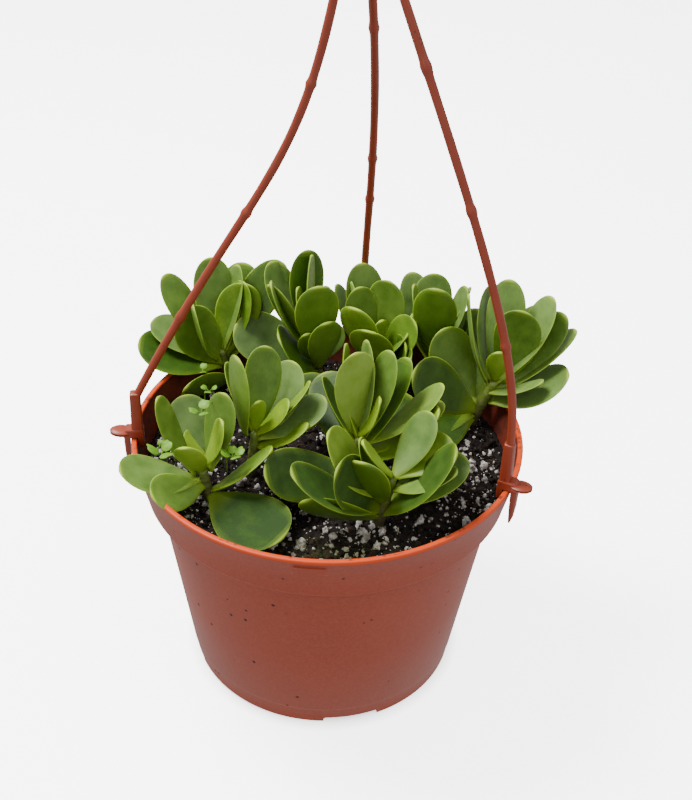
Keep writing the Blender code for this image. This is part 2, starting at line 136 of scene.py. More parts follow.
# colour of each modelled leaf, in order: brightness and waxy bloom, both from 0 to 1
# brightness is partly the leaf's own green and partly painted shade: leaves lying in shadow get low values
LEAF_LOOKS = {
    "back_left": (
        (0.5, 0.3), (0.5, 0.4), (0.55, 0.1), (0.45, 0.15), (0.4, 0.5), (0.15, 0.05), (0.4, 0.2),
    ),
    "back_middle": ((0.5, 0.5), (0.3, 0.1), (0.4, 0.15), (0.6, 0.4), (0.5, 0.3), (0.35, 0.8)),
    "back_right_middle": ((0.55, 0.5), (0.5, 0.4), (0.5, 0.35), (0.6, 0.15), (0.6, 0.2)),
    "back_right": ((0.5, 0.6), (0.5, 0.5), (0.45, 0.1), (0.55, 0.6)),
    "right": (
        (0.5, 0.35), (0.55, 0.8), (0.5, 0.45), (0.45, 0.4), (0.4, 0.15), (0.5, 0.2), (0.55, 0.5),
        (0.45, 0.6),
    ),
    "front_left": ((0.45, 0.65), (0.6, 0.4), (0.5, 0.4), (0.45, 0.5), (0.6, 0.2), (0, 0)),
    "front_left_middle": ((0.65, 0.4), (0.5, 0.3), (0.5, 0.8), (0.7, 0.15)),
    "front_middle": ((0.9, 0.7), (0.5, 0.4), (0.7, 0.5), (0.7, 0.1)),
    "front_right": ((0.65, 0.25), (0.55, 0.5), (0.4, 0.3), (0.7, 0.4)),
}

# leaves that have grown into one piece with their stem: height above the rim of the place on the stem,
# heading, pitch, twist, length, width, then brightness and bloom
YOUNG = {
    "back_right_middle": ((4.6, -26, 50, 10, 20, 14, 0.6, 0.2),),
    "back_right": ((3.6, -178, 66, -10, 24, 12, 0.5, 0.2),),
    "front_left": ((2, 15, 70, 5, 22, 12, 0.8, 0.2), (0.5, -135, 62, 35, 18, 12, 0.8, 0.2)),
    "front_left_middle": ((5.9, 2, 50, 5, 20, 12, 0.8, 0.1),),
    "front_middle": ((12, -15, 70, 15, 20, 11, 0.8, 0.1),),
    "front_right": ((8, -175, 55, 0, 20, 9, 0.8, 0.2),),
}

# the smaller and hidden leaves, by the same measures
# brightness is partly painted shade: the low, hidden leaves are given dark values
SMALL = {
    "back_left": (
        (-8.5, -120, 24, 62, 33, 15, 0.5, 0.3), (4.1, 74, 60, -45, 37, 17, 0.5, 0.5),
        (-1.6, 60, 55, -20, 34, 17, 0.3, 0.1), (2.2, 62, 50, -70, 30, 14, 0.6, 0.6),
        (2, 44, 67, 44, 33, 18, 0.6, 0.1), (-1, -158, 57, -66, 33, 20, 0.55, 0.3),
        (4, 41, 47, 44, 45, 17, 0.4, 0.1),
    ),
    "back_middle": (
        (13, 95, 62, 75, 34, 14, 0.6, 0.5), (12, 150, 72, 20, 24, 12, 0.7, 0.2),
        (13, 170, 75, 0, 16, 8, 0.8, 0.1), (-2.6, -145, 50, -25, 30, 22, 0.2, 0.05),
        (2, -115, 62, 40, 22, 9, 0.5, 0.3), (9, 60, 70, -30, 26, 13, 0.4, 0.3),
        (0, 178, 27, -40, 38, 22, 0.25, 0.55), (10, 169, 54, 52, 32, 14, 0.6, 0.6),
        (1, 76, 13, 16, 26, 15, 0.15, 0.1),
    ),
    "back_right_middle": (
        (2.4, 140, 50, 25, 36, 16, 0.5, 0.6), (6.8, 130, 55, 60, 31, 13, 0.6, 0.5),
        (0.2, 55, 14, -20, 30, 17, 0.5, 0.5), (9, -60, 80, 10, 15, 8, 0.8, 0.1),
        (2, -22, 57, 55, 28, 16, 0.6, 0.2), (-1, -56, 35, 45, 26, 17, 0.2, 0.1),
        (-2, -47, 52, 60, 24, 16, 0.15, 0.1),
    ),
    "back_right": (
        (10.4, 150, 68, 20, 28, 14, 0.6, 0.2), (2.6, 15, 55, 0, 24, 12, 0.3, 0.1),
        (12.5, -30, 78, 20, 17, 9, 0.7, 0.1), (6, 37, 63, -24, 32, 15, 0.5, 0.7),
    ),
    "right": (
        (-4.2, 118, 32, 30, 40, 18, 0.35, 0.5), (4.6, 90, 50, 55, 42, 17, 0.5, 0.6),
        (6, 35, 52, -15, 43, 19, 0.5, 0.6), (2.5, 25, 44, 20, 44, 16, 0.4, 0.3),
        (3, -30, 32, -5, 26, 12, 0.6, 0.8), (-7.5, 196, 8, -10, 36, 22, 0.35, 0.1),
        (9, -95, 76, 10, 17, 9, 0.7, 0.1), (-9, -140, 8, -30, 30, 19, 0.1, 0.1),
        (-6, -152, 41, -60, 42, 21, 0.1, 0.1),
    ),
    "front_left": ((2, 110, 25, 30, 17, 10, 0.8, 0.2), (-5.5, -132, 20, -38, 27, 15, 0.6, 0.4)),
    "front_left_middle": (
        (6, 30, 38, -30, 29, 13, 0.7, 0.2), (3.8, 20, 25, 0, 31, 18, 0.5, 0.7),
        (6, 120, 40, 50, 30, 14, 0.4, 0.1), (8, -60, 82, 10, 15, 8, 0.8, 0.1),
        (0, 50, 12, 36, 44, 20, 0.2, 0.3),
    ),
    "front_middle": (
        (9.5, 105, 55, 65, 37, 14, 0.7, 0.2), (7, 128, 40, 45, 30, 15, 0.3, 0.2),
        (9.5, 88, 57, -70, 38, 15, 0.6, 0.7), (4.5, 48, 50, -25, 40, 18, 0.3, 0.1),
        (2, 22, 28, -10, 38, 17, 0.75, 0.1), (-4, -151, 17, -38, 40, 21, 0.1, 0.1),
        (0, 112, 22, -20, 42, 20, 0.12, 0.1), (-4, 59, 19, 24, 40, 20, 0.12, 0.1),
    ),
    "front_right": (
        (5.9, 50, 45, -10, 29, 15, 0.4, 0.4), (-4.6, -155, 65, 35, 26, 19, 0.2, 0.05),
        (0, 150, 60, 20, 24, 13, 0.3, 0.1), (-11, -154, 31, 52, 36, 18, 0.25, 0.1),
        (-8, -158, 37, -8, 44, 22, 0.08, 0.05), (-8, -148, 54, -60, 34, 20, 0.1, 0.1),
        (-10, -21, 55, 16, 46, 22, 0.2, 0.15),
    ),
}

# ---------------------------------------------------------------- soil and what lies on it
SOIL_RINGS = 120
SOIL_SEGMENTS = 400
PERLITE_COARSE = 230
PERLITE_FINE = 1700
CRUMB_COUNT = 1900
FIBRE_COUNT = 260
# middles (x, y) of the patches where perlite has gathered, and how far they spread
PERLITE_PATCHES = ((56, -14), (-66, 9), (-47, -33), (14, -56))
PATCH_SPREAD = (15, 17)
# each seedling: root (x, y), crown (x, y, height), number of leaves and their reach
SEEDLINGS = (
    ((-60, -16), (-58.5, -36.5, 119), 3, 2.7), ((-58, -10), (-61, -27, 114), 2, 1.5),
    ((-38, -12), (-33.5, -33, 116), 4, 2.1), ((-40, -8), (-45, -27, 131), 3, 2.0),
    ((-58, -3), (-60, -9, 113), 4, 1.6), ((-49, 14), (-46, 6, 117), 3, 1.6),
    ((-48, 31), (-51, 26, 112), 2, 1.5),
)

# ---------------------------------------------------------------- light and view
FLOOR_SIZE = 12.0
BACKDROP_RADIUS = 5.9
WORLD_LIGHT = 0.95
# each lamp: heading and pitch from the rim's middle, distance, width and power
LAMPS = {
    "key": (158.0, 60.0, 0.95, 0.45, 27.0),
    "fill": (-30.0, 45.0, 1.2, 0.9, 6.0),
    "front": (-110.0, 28.0, 1.3, 0.9, 6.0),
}
# the camera: pitch and roll in radians, aim and distance in the pot's millimetres
VIEW_PITCH = 0.62
VIEW_ROLL = 0.036
VIEW_AIM = (6.52, 0.0, HEIGHT + 14.416)
VIEW_DISTANCE = 492.427
VIEW_LENS = 58.5


# ---------------------------------------------------------------- shader maths
class Socket:
    """An output in a material.  Arithmetic on it adds Math nodes and gives the result."""

    def __init__(self, finish, output):
        self.finish = finish
        self.output = output

    def maths(self, operation, first, second=0.0, clamp=False):
        """One Math node."""
        settings = {"operation": operation, "use_clamp": clamp}
        return self.finish.add("ShaderNodeMath", settings, {0: first, 1: second})

    def __add__(self, other):
        return self.maths("ADD", self, other)

    def __sub__(self, other):
        return self.maths("SUBTRACT", self, other)

    def __mul__(self, other):
        return self.maths("MULTIPLY", self, other)

    def __truediv__(self, other):
        return self.maths("DIVIDE", self, other)

    def __pow__(self, other):
        return self.maths("POWER", self, other)

    def __rsub__(self, other):
        return self.maths("SUBTRACT", other, self)

    def __abs__(self):
        return self.maths("ABSOLUTE", self)

    __radd__ = __add__
    __rmul__ = __mul__

    def above(self, level, softness):
        """0 below the level, 1 above it, with a soft step between."""
        return self.maths("MULTIPLY", self - (level - softness / 2), 1.0 / softness, clamp=True)

    def near(self, level, reach):
        """1 at the level, falling to 0 at the reach on either side."""
        return self.maths("SUBTRACT", 1.0, abs(self - level) * (1.0 / reach), clamp=True)

    def or_more(self, other):
        """The larger of the two."""
        return self.maths("MAXIMUM", self, other)

    def part(self, index):
        """One of X, Y and Z of a vector."""
        return self.finish.add("ShaderNodeSeparateXYZ", {}, {0: self}, output=index)


class Finish:
    """A material being written: its Principled shader, and the nodes that feed it."""

    def __init__(self, name, **sockets):
        self.material = bpy.data.materials.new(name)
        self.material.use_nodes = True
        self.nodes = self.material.node_tree.nodes
        self.links = self.material.node_tree.links
        self.shader = self.nodes["Principled BSDF"]
        self.give(**sockets)

    def give(self, **sockets):
        """Sets or links the shader's own sockets, named with _ for each space."""
        for socket, value in sockets.items():
            self.feed(self.shader.inputs[socket.replace("_", " ")], value)

    def feed(self, socket, value):
        """Links a Socket to a node's socket, or sets a plain value on it."""
        if isinstance(value, Socket):
            self.links.new(value.output, socket)
        elif isinstance(value, (tuple, list)) and len(value) == 3 and socket.type == "RGBA":
            socket.default_value = (*value, 1.0)
        else:
            socket.default_value = value

    def add(self, kind, settings, sockets, output=0):
        """Any node: its type, its settings, then the values or links of its sockets."""
        node = self.nodes.new(kind)
        for key, value in settings.items():
            if key == "stops":
                self.set_stops(node.color_ramp, value)
            else:
                setattr(node, key, value)
        for key, value in sockets.items():
            self.feed(node.inputs[key], value)
        return Socket(self, node.outputs[output])

    def set_stops(self, ramp, stops):
        while len(ramp.elements) < len(stops):
            ramp.elements.new(1.0)
        for element, (place, colour) in zip(ramp.elements, stops):
            element.position = place
            element.color = (*colour, 1.0)

    def place(self):
        """The point being coloured, in metres."""
        return self.add("ShaderNodeTexCoord", {}, {}, output="Object")

    def value(self, name):
        """A number stored at the mesh's points."""
        return self.add("ShaderNodeAttribute", {"attribute_name": name}, {}, output="Fac")

    def vector(self, name):
        """A vector stored at the mesh's points."""
        return self.add("ShaderNodeAttribute", {"attribute_name": name}, {}, output="Vector")

    def stretched(self, vector, scale):
        settings = {"vector_type": "POINT"}
        return self.add("ShaderNodeMapping", settings, {"Vector": vector, "Scale": scale})

    def noise(self, vector, scale, detail=3.0, roughness=0.5):
        sockets = {"Vector": vector, "Scale": scale, "Detail": detail, "Roughness": roughness}
        return self.add("ShaderNodeTexNoise", {}, sockets)

    def cells(self, vector, scale):
        sockets = {"Vector": vector, "Scale": scale}
        return self.add("ShaderNodeTexVoronoi", {}, sockets, output="Distance")

    def ramp(self, value, *stops):
        return self.add("ShaderNodeValToRGB", {"stops": stops}, {0: value})

    def mix(self, share, first, second):
        settings = {"data_type": "RGBA", "blend_type": "MIX", "clamp_factor": True}
        return self.add("ShaderNodeMix", settings, {0: share, 6: first, 7: second}, output=2)

    def bump(self, height, strength, distance):
        sockets = {"Height": height, "Strength": strength, "Distance": distance}
        return self.add("ShaderNodeBump", {}, sockets)


# ---------------------------------------------------------------- finishes
def measure(place, axis):
    """A place's X, Y or Z from the middle of the pot's foot, in millimetres."""
    return (place.part(axis) - FOOT[axis]) / MM


def facing_in(height, radius):
    """1 on the faces that look into the pot, told by the middle of the wall at each height."""
    slope = (body_radius(HEIGHT) - body_radius(0.0)) / HEIGHT
    body_middle = height * slope + (BASE_RADIUS - WALL / 2)
    band_slope = BAND_TAPER / (BAND_HEIGHT - LIP_HEIGHT)
    band_middle = height * band_slope + (band_radius(0.0) - WALL / 2)
    banded = height.above(HEIGHT - BAND_HEIGHT + WALL, 0.2)
    wall_middle = body_middle * (1 - banded) + band_middle * banded
    return (wall_middle - radius).above(0.1, 0.2) * height.above(FLOOR_LIFT + 2, 1.0)


def edge_highlights(across, depth, height):
    """Where edge highlights are painted: the band's step, the ring above the foot and the lower edge of the
    moulded mark.
    """
    low, high = (RIM * math.cos(math.radians(heading)) for heading in MARK_HEADINGS)
    marked = across.above(low, 0.4) * (1 - across.above(high, 0.4)) * (1 - depth.above(0.0, 1.0))
    step = height.near(HEIGHT - BAND_HEIGHT + 0.1, 0.45)
    ring = height.near(RING_HEIGHT, 0.4) * 0.6
    return step + ring + height.near(HEIGHT - MARK_DROP[1], 0.35) * marked


def soil_splashes(made, place, across):
    """Dried flecks of soil, fewer towards the right."""
    left = 1 - across.above(8.0, 60.0)
    specks = 1 - made.cells(place, 150.0).above(0.10, 0.05)
    large = 1 - made.cells(place, 70.0).above(0.075, 0.03)
    rare = made.noise(place, 90.0, 1.0).above(0.52, 0.02)
    rarer = made.noise(place, 47.0, 1.0).above(0.58, 0.02)
    return (specks * rare).or_more(large * rarer) * (0.35 + 0.65 * left)


def pot_finish():
    """Moulded terracotta-red plastic: dusty, with a few dark splashes of soil, painted shade on the inside
    wall, and painted highlights on the lip and along the edges.
    """
    made = Finish("pot_plastic", Specular_IOR_Level=0.22)
    place = made.place()
    across, depth, height = (measure(place, axis) for axis in range(3))
    inside = facing_in(height, (across * across + depth * depth) ** 0.5)
    cloud = made.noise(place, 22.0, 4.0, 0.55)
    fine = made.noise(place, 900.0, 2.0)
    body = made.mix(cloud.above(0.5, 0.5), (0.180, 0.026, 0.010), (0.215, 0.035, 0.0145))
    dusty = made.mix(fine.above(0.55, 0.3) * 0.25, body, (0.28, 0.062, 0.032))
    # painted highlight: the lip is coloured a brighter orange, standing in for the light it catches from
    # above
    lip = height.above(HEIGHT - 1.3, 0.7)
    lip_highlighted = made.mix(lip, dusty, (0.40, 0.038, 0.003))
    # painted shade: the faces looking into the pot are coloured dark red, standing in for the shadow inside
    # it
    inside_shaded = made.mix(inside * (1 - lip), lip_highlighted, (0.085, 0.014, 0.007))
    # painted highlights: light lines along the band's step, the foot's ring and the mark's lower edge
    edge_glints = edge_highlights(across, depth, height) * (0.3 + 0.7 * cloud) * (1 - inside)
    edges_lit = made.mix(edge_glints * 0.75, inside_shaded, (0.42, 0.125, 0.075))
    dirt = soil_splashes(made, place, across)
    splashed = made.mix(dirt, edges_lit, (0.018, 0.006, 0.004))
    ground_in = made.noise(place, 240.0, 4.0, 0.7).above(0.58, 0.12) * inside
    made.give(
        Base_Color=made.mix(ground_in * 0.7, splashed, (0.03, 0.012, 0.008)),
        Roughness=0.40 + 0.14 * cloud + 0.3 * dirt,
        Normal=made.bump(fine * 0.4 + cloud * 2.0 + dirt * 1.5, 0.22, 0.0003),
    )
    return made.material


def hanger_finish():
    """The same plastic in thinner section, smoother and a little glossier, with grubby flecks, and darker
    towards the top.
    """
    made = Finish("hanger_plastic", Specular_IOR_Level=0.30)
    place = made.place()
    cloud = made.noise(place, 70.0, 3.0)
    grain = made.noise(made.stretched(place, (1.0, 1.0, 0.15)), 1100.0, 2.0)
    high = measure(place, 2).above(HEIGHT + 40.0, 120.0)
    tone = made.mix(cloud.above(0.5, 0.5), (0.165, 0.021, 0.007), (0.215, 0.031, 0.011))
    # darker towards the top of the wires
    darker_upwards = made.mix(high * 0.5, tone, (0.120, 0.018, 0.007))
    flecks = 1 - made.cells(place, 420.0).above(0.12, 0.1)
    grime = flecks * made.noise(place, 60.0).above(0.55, 0.1)
    made.give(
        Base_Color=made.mix(grime, darker_upwards, (0.03, 0.010, 0.006)),
        Roughness=0.34 + 0.16 * cloud,
        Normal=made.bump(grain * 0.5 + cloud, 0.3, 0.0002),
    )
    return made.material


def soil_finish():
    """Damp peat: near-black crumbs with brown fibre and a thin green film in places."""
    made = Finish("peat", Specular_IOR_Level=0.2)
    place = made.place()
    crumbs = made.noise(place, 420.0, 6.0, 0.7)
    patches = made.noise(place, 60.0, 3.0)
    fibre = made.noise(made.stretched(place, (1.0, 5.0, 1.0)), 260.0, 4.0, 0.6)
    base = made.ramp(
        crumbs,
        (0.30, (0.0015, 0.001, 0.001)),
        (0.52, (0.007, 0.0042, 0.0028)),
        (0.75, (0.028, 0.015, 0.009)),
    )
    fibred = made.mix(fibre.above(0.64, 0.06) * 0.8, base, (0.055, 0.026, 0.013))
    film = made.value("film") * patches.above(0.5, 0.2) * crumbs.above(0.5, 0.2)
    made.give(
        Base_Color=made.mix(film * 0.4, fibred, (0.045, 0.050, 0.005)),
        Roughness=0.95 - 0.35 * crumbs.above(0.62, 0.1),
        Normal=made.bump(crumbs * 2.0 + fibre, 0.8, 0.0008),
    )
    return made.material


def perlite_finish():
    """Chalky popped glass, off-white, stained brown in patches and green where algae has taken."""
    made = Finish("perlite")
    place = made.place()
    pits = made.noise(place, 1300.0, 4.0, 0.7)
    stain = made.noise(place, 300.0, 3.0)
    white = made.ramp(
        pits, (0.3, (0.13, 0.115, 0.10)), (0.5, (0.34, 0.32, 0.29)), (0.7, (0.62, 0.60, 0.57)),
    )
    brown = made.mix(stain.above(0.56, 0.14) * 0.85, white, (0.06, 0.04, 0.026))
    made.give(
        Base_Color=made.mix(made.value("film") * 0.75, brown, (0.17, 0.19, 0.03)),
        Roughness=0.9,
        Normal=made.bump(pits, 0.9, 0.0006),
    )
    return made.material


def leaf_finish():
    """Thick waxy leaf: grained green flesh, darker on leaves in shadow as painted shade, a grey bloom, and a
    thin pale margin.
    """
    made = Finish(
        "leaf", Specular_IOR_Level=0.22,
        Subsurface_Weight=0.10, Subsurface_Radius=(0.5, 1.0, 0.05), Subsurface_Scale=0.0015,
    )
    tone = made.value("tone")
    bloom = made.value("bloom")
    edge = made.value("edge")
    along = made.value("along")
    upper = made.value("upper")
    grain_place = made.vector("grain")
    streaks = made.noise(made.stretched(grain_place, (0.45, 2.8, 1.0)), 1.3, 4.0, 0.6)
    mottle = made.noise(grain_place, 0.16, 3.0)
    # tone is partly the leaf's own shade of green and partly painted shade: leaves lying in shadow are given
    # low tone
    flesh = made.ramp(
        tone + (streaks - 0.5) * 0.26 + (mottle - 0.5) * 0.45,
        (0.0, (0.009, 0.029, 0.0004)),
        (0.35, (0.030, 0.075, 0.0008)),
        (0.6, (0.068, 0.137, 0.002)),
        (1.0, (0.200, 0.295, 0.009)),
    )
    powder = bloom * (0.45 + 0.55 * mottle.above(0.45, 0.4)) * (0.75 + 0.5 * streaks)
    waxy = made.mix(powder * 0.55, flesh, (0.155, 0.220, 0.085))
    stalk = (1 - along.above(0.14, 0.28)) * 0.6
    stalked = made.mix(stalk, waxy, (0.170, 0.245, 0.010))
    beneath = made.mix((1 - upper) * 0.25, stalked, (0.085, 0.155, 0.010))
    rim = edge.above(0.975, 0.03)
    soft_rim = edge.above(0.86, 0.28) * 0.16
    edged = made.mix(soft_rim, beneath, (0.18, 0.28, 0.010))
    margin = made.mix(rim * (0.35 + 0.25 * tone), edged, (0.34, 0.45, 0.04))
    specks = (1 - made.cells(grain_place, 0.55).above(0.05, 0.03)) * mottle.above(0.5, 0.1)
    oldest = 1 - tone.above(0.07, 0.06)
    made.give(
        Base_Color=made.mix(specks * 0.5, margin, (0.012, 0.025, 0.003)),
        Roughness=0.36 + 0.26 * powder + 0.10 * streaks + 0.40 * oldest,
        Normal=made.bump(streaks + made.noise(grain_place, 3.2, 2.0) * 0.5, 0.22, 0.0003),
    )
    return made.material


def stem_finish():
    """Fleshy green stem, browner towards the soil."""
    made = Finish("stem")
    place = made.place()
    scars = made.noise(made.stretched(place, (1.0, 1.0, 3.0)), 330.0, 4.0, 0.6)
    young = measure(place, 2).above(SOIL_TOP + 11.0, 16.0)
    flesh = made.mix(young, (0.030, 0.026, 0.005), (0.085, 0.125, 0.006))
    made.give(
        Base_Color=made.mix(scars.above(0.58, 0.1) * 0.5, flesh, (0.028, 0.018, 0.006)),
        Roughness=0.5 + 0.2 * scars,
        Normal=made.bump(scars, 0.5, 0.0006),
    )
    return made.material


def seedling_finish():
    """Thin fresh green leaf with a little veining."""
    made = Finish("seedling", Specular_IOR_Level=0.3)
    place = made.place()
    veins = made.noise(place, 800.0, 3.0)
    made.give(
        Base_Color=made.mix(veins.above(0.5, 0.3), (0.055, 0.15, 0.003), (0.11, 0.22, 0.008)),
        Roughness=0.5 + 0.1 * veins,
        Normal=made.bump(veins, 0.3, 0.0003),
    )
    return made.material


# ---------------------------------------------------------------- mesh helpers
VECTOR_VALUES = ("grain",)


class Piece:
    """Points, faces and per-point values gathered for one piece, in the pot's millimetres."""

    def __init__(self):
        self.points = []
        self.faces = []
        self.values = {}
        self.count = 0

    def add(self, points, faces, **values):
        """More points and faces, with a value for all of them or one for each."""
        points = np.asarray(points, float)
        self.points.append(points)
        self.faces += [tuple(int(i) + self.count for i in face) for face in faces]
        self.count += len(points)
        for name, value in values.items():
            shape = (len(points), 3) if name in VECTOR_VALUES else (len(points),)
            spread = np.broadcast_to(np.asarray(value, float), shape)
            self.values.setdefault(name, []).append(spread)

    def make(self, name, material=None):
        """The gathered piece as a smooth mesh object in the model's frame."""
        mesh = bpy.data.meshes.new(name)
        points = np.concatenate(self.points) * MM + np.array(FOOT)
        mesh.from_pydata([tuple(p) for p in points], [], self.faces)
        for key, parts in self.values.items():
            kind, field = ("FLOAT_VECTOR", "vector") if key in VECTOR_VALUES else ("FLOAT", "value")
            layer = mesh.attributes.new(key, kind, "POINT")
            layer.data.foreach_set(field, np.concatenate(parts).astype(np.float32).ravel())
        mesh.validate()
        obj = bpy.data.objects.new(name, mesh)
        bpy.context.scene.collection.objects.link(obj)
        if material:
            mesh.materials.append(material)
        mesh.shade_smooth()
        return obj


def settle(obj, slot, *nodes):
    """Hands a finished piece to the model: its body and the nodes it stands for. The slot is not used."""
    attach(obj, "root")
    if nodes:
        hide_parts(*nodes)


def strip_faces(rings, around, closed_ends=True):
    """Quads between rings of as many points each, with a face across each end."""
    faces = []
    for ring in range(rings - 1):
        for i in range(around):
            j = (i + 1) % around
            low, high = ring * around, (ring + 1) * around
            faces.append((low + i, low + j, high + j, high + i))
    if closed_ends:
        faces.append(tuple(range(around - 1, -1, -1)))
        faces.append(tuple(range((rings - 1) * around, rings * around)))
    return faces


def turned(profile, segments):
    """A turned solid from (radius, height) points that start and end on the axis."""
    inner = profile[1:-1]
    points = [(0.0, 0.0, profile[0][1])]
    for radius, height in inner:
        for i in range(segments):
            turn = 2 * math.pi * i / segments
            points.append((radius * math.cos(turn), radius * math.sin(turn), height))
    points.append((0.0, 0.0, profile[-1][1]))
    faces = [tuple(n + 1 for n in face) for face in strip_faces(len(inner), segments, False)]
    last = len(points) - 1
    start = last - segments
    for i in range(segments):
        j = (i + 1) % segments
        faces.append((0, 1 + j, 1 + i))
        faces.append((last, start + i, start + j))
    return points, faces


def tube(route, radii, around=14):
    """A round bar along the route, its sections turned without twist."""
    route = [Vector(p) for p in route]
    points = []
    side = None
    for i, place in enumerate(route):
        ahead = (route[min(i + 1, len(route) - 1)] - route[max(i - 1, 0)]).normalized()
        if side is None:
            side = ahead.orthogonal().normalized()
        side = (side - ahead * side.dot(ahead)).normalized()
        other = ahead.cross(side)
        for k in range(around):
            turn = 2 * math.pi * k / around
            points.append(place + (side * math.cos(turn) + other * math.sin(turn)) * radii[i])
    return [tuple(p) for p in points], strip_faces(len(route), around)


def arc(centre, radius, start, end, steps):
    """Points on an arc in the profile plane, with angles in degrees."""
    turns = [math.radians(start + (end - start) * i / steps) for i in range(steps + 1)]
    return [(centre[0] + radius * math.cos(a), centre[1] + radius * math.sin(a)) for a in turns]


def solid(points, faces):
    """A loose mesh object, facing out, for joining or cutting."""
    piece = Piece()
    piece.add(points, faces)
    obj = piece.make("cutting")
    bm = bmesh.new()
    bm.from_mesh(obj.data)
    bmesh.ops.recalc_face_normals(bm, faces=bm.faces)
    bm.to_mesh(obj.data)
    bm.free()
    return obj


def lofted(rings):
    """A loose mesh object through rings of as many points each."""
    return solid([p for ring in rings for p in ring], strip_faces(len(rings), len(rings[0])))


def combined(obj, others, operation):
    """Joins or cuts obj with each of the others, which are used up."""
    for other in others:
        boolean = obj.modifiers.new(operation.title(), "BOOLEAN")
        boolean.operation = operation
        boolean.object = other
        boolean.solver = "EXACT"
    bpy.context.view_layer.update()
    graph = bpy.context.evaluated_depsgraph_get()
    mesh = bpy.data.meshes.new_from_object(obj.evaluated_get(graph))
    obj.modifiers.clear()
    obj.data = mesh
    for other in others:
        bpy.data.objects.remove(other, do_unlink=True)


def finished(obj, name, material, sharp):
    """Names a joined mesh and gives it its finish, with edges over the angle kept sharp."""
    obj.name = name
    obj.data.name = name
    obj.data.materials.clear()
    obj.data.materials.append(material)
    obj.data.shade_smooth()
    obj.data.set_sharp_from_angle(angle=math.radians(sharp))


# ---------------------------------------------------------------- pot
def band_radius(height):
    """Outer radius of the band at a height under the lip."""
    drop = HEIGHT - LIP_HEIGHT - height
    return RIM - LIP_OVERHANG - BAND_TAPER * drop / (BAND_HEIGHT - LIP_HEIGHT)


def body_radius(height):
    """Outer radius of the body at a height below the band."""
    top = RIM - LIP_OVERHANG - BAND_TAPER - BAND_STEP
    return BASE_RADIUS + (top - BASE_RADIUS) * height / (HEIGHT - BAND_HEIGHT)


def pot_profile():
    """From the middle of the floor up the inside, over the lip and down to the foot."""
    floor = FLOOR_LIFT + FLOOR_THICKNESS
    band_bottom = HEIGHT - BAND_HEIGHT
    band_low = band_radius(band_bottom)
    body_top = body_radius(band_bottom)
    inner_foot = body_radius(floor) - WALL
    return [
        (0.0, floor),
        *arc((inner_foot - 2.0, floor + 2.0), 2.0, -90, -8, 5),
        (body_radius(band_bottom / 2) - WALL, band_bottom / 2),
        (body_top - WALL, band_bottom + WALL - 0.6),
        (body_top - WALL + 0.6, band_bottom + WALL),
        (band_low - WALL - 0.6, band_bottom + WALL),
        (band_low - WALL, band_bottom + WALL + 0.8),
        (band_radius(HEIGHT - LIP_HEIGHT) - WALL, HEIGHT - LIP_HEIGHT),
        *arc((RIM - LIP_WIDTH + 0.7, HEIGHT - 0.7), 0.7, 180, 90, 5),
        *arc((RIM - 0.6, HEIGHT - 0.6), 0.6, 90, 0, 5),
        *arc((RIM - 0.3, HEIGHT - LIP_HEIGHT + 0.3), 0.3, 0, -90, 3),
        (band_radius(HEIGHT - LIP_HEIGHT), HEIGHT - LIP_HEIGHT - 0.15),
        (band_radius(HEIGHT - BAND_HEIGHT / 2), HEIGHT - BAND_HEIGHT / 2),
        *arc((band_low - 0.6, band_bottom + 0.6), 0.6, 10, -80, 4),
        (body_top + 0.7, band_bottom - 0.1),
        (body_top, band_bottom - 0.9),
        (body_radius(band_bottom / 2), band_bottom / 2),
        (body_radius(RING_HEIGHT), RING_HEIGHT),
        (body_radius(RING_HEIGHT) - 0.25, RING_HEIGHT - 0.5),
        *arc((BASE_RADIUS - 1.2, 1.2), 1.2, 10, -90, 6),
        (BASE_RADIUS - FOOT_WIDTH, 0.0),
        (BASE_RADIUS - FOOT_WIDTH, FLOOR_LIFT),
        (0.0, FLOOR_LIFT),
    ]


def drain_cuts():
    """The slots through the foot ring and the round holes behind them."""
    cuts = []
    half = DRAIN_SLOT_WIDTH / 2
    section = [
        (-half, -3.0), (half, -3.0), (half, 2.0),
        (half - 0.8, 2.8), (0.8 - half, 2.8), (-half, 2.0),
    ]
    ends = (BASE_RADIUS - 2 * FOOT_WIDTH, BASE_RADIUS + 2 * FOOT_WIDTH)
    for heading in DRAIN_HEADINGS:
        turn = Matrix.Rotation(math.radians(heading), 4, "Z")
        cuts.append(lofted([[turn @ Vector((x, y, z)) for y, z in section] for x in ends]))
        middle = turn @ Vector((BASE_RADIUS - FOOT_WIDTH - DRAIN_HOLE_INSET, 0.0, 0.0))
        route = [middle, middle + Vector((0.0, 0.0, 8.0))]
        cuts.append(solid(*tube(route, (DRAIN_HOLE_RADIUS, DRAIN_HOLE_RADIUS), 32)))
    return cuts


def mould_mark():
    """A low raised bar on the band, just under the lip."""
    low, high = MARK_HEADINGS
    top, bottom = (HEIGHT - drop for drop in MARK_DROP)
    rings = []
    steps = 14
    for i in range(steps + 1):
        turn = math.radians(low + (high - low) * i / steps)
        raised = 0.0 if i in (0, steps) else MARK_RISE
        out = Vector((math.cos(turn), math.sin(turn), 0.0))
        section = [(-0.5, top), (raised, top - 0.3), (raised, bottom + 0.3), (-0.5, bottom)]
        rings.append([out * (band_radius(z) + lift) + Vector((0.0, 0.0, z)) for lift, z in section])
    return lofted(rings)


def make_pot():
    """The pot in one piece: turned, then cut for drainage, with its moulded mark."""
    pot = solid(*turned(pot_profile(), POT_SEGMENTS))
    combined(pot, drain_cuts(), "DIFFERENCE")
    combined(pot, [mould_mark()], "UNION")
    finished(pot, "moulded_pot", pot_finish(), 32.0)
    settle(pot, "pot_plastic", "nursery_pot")


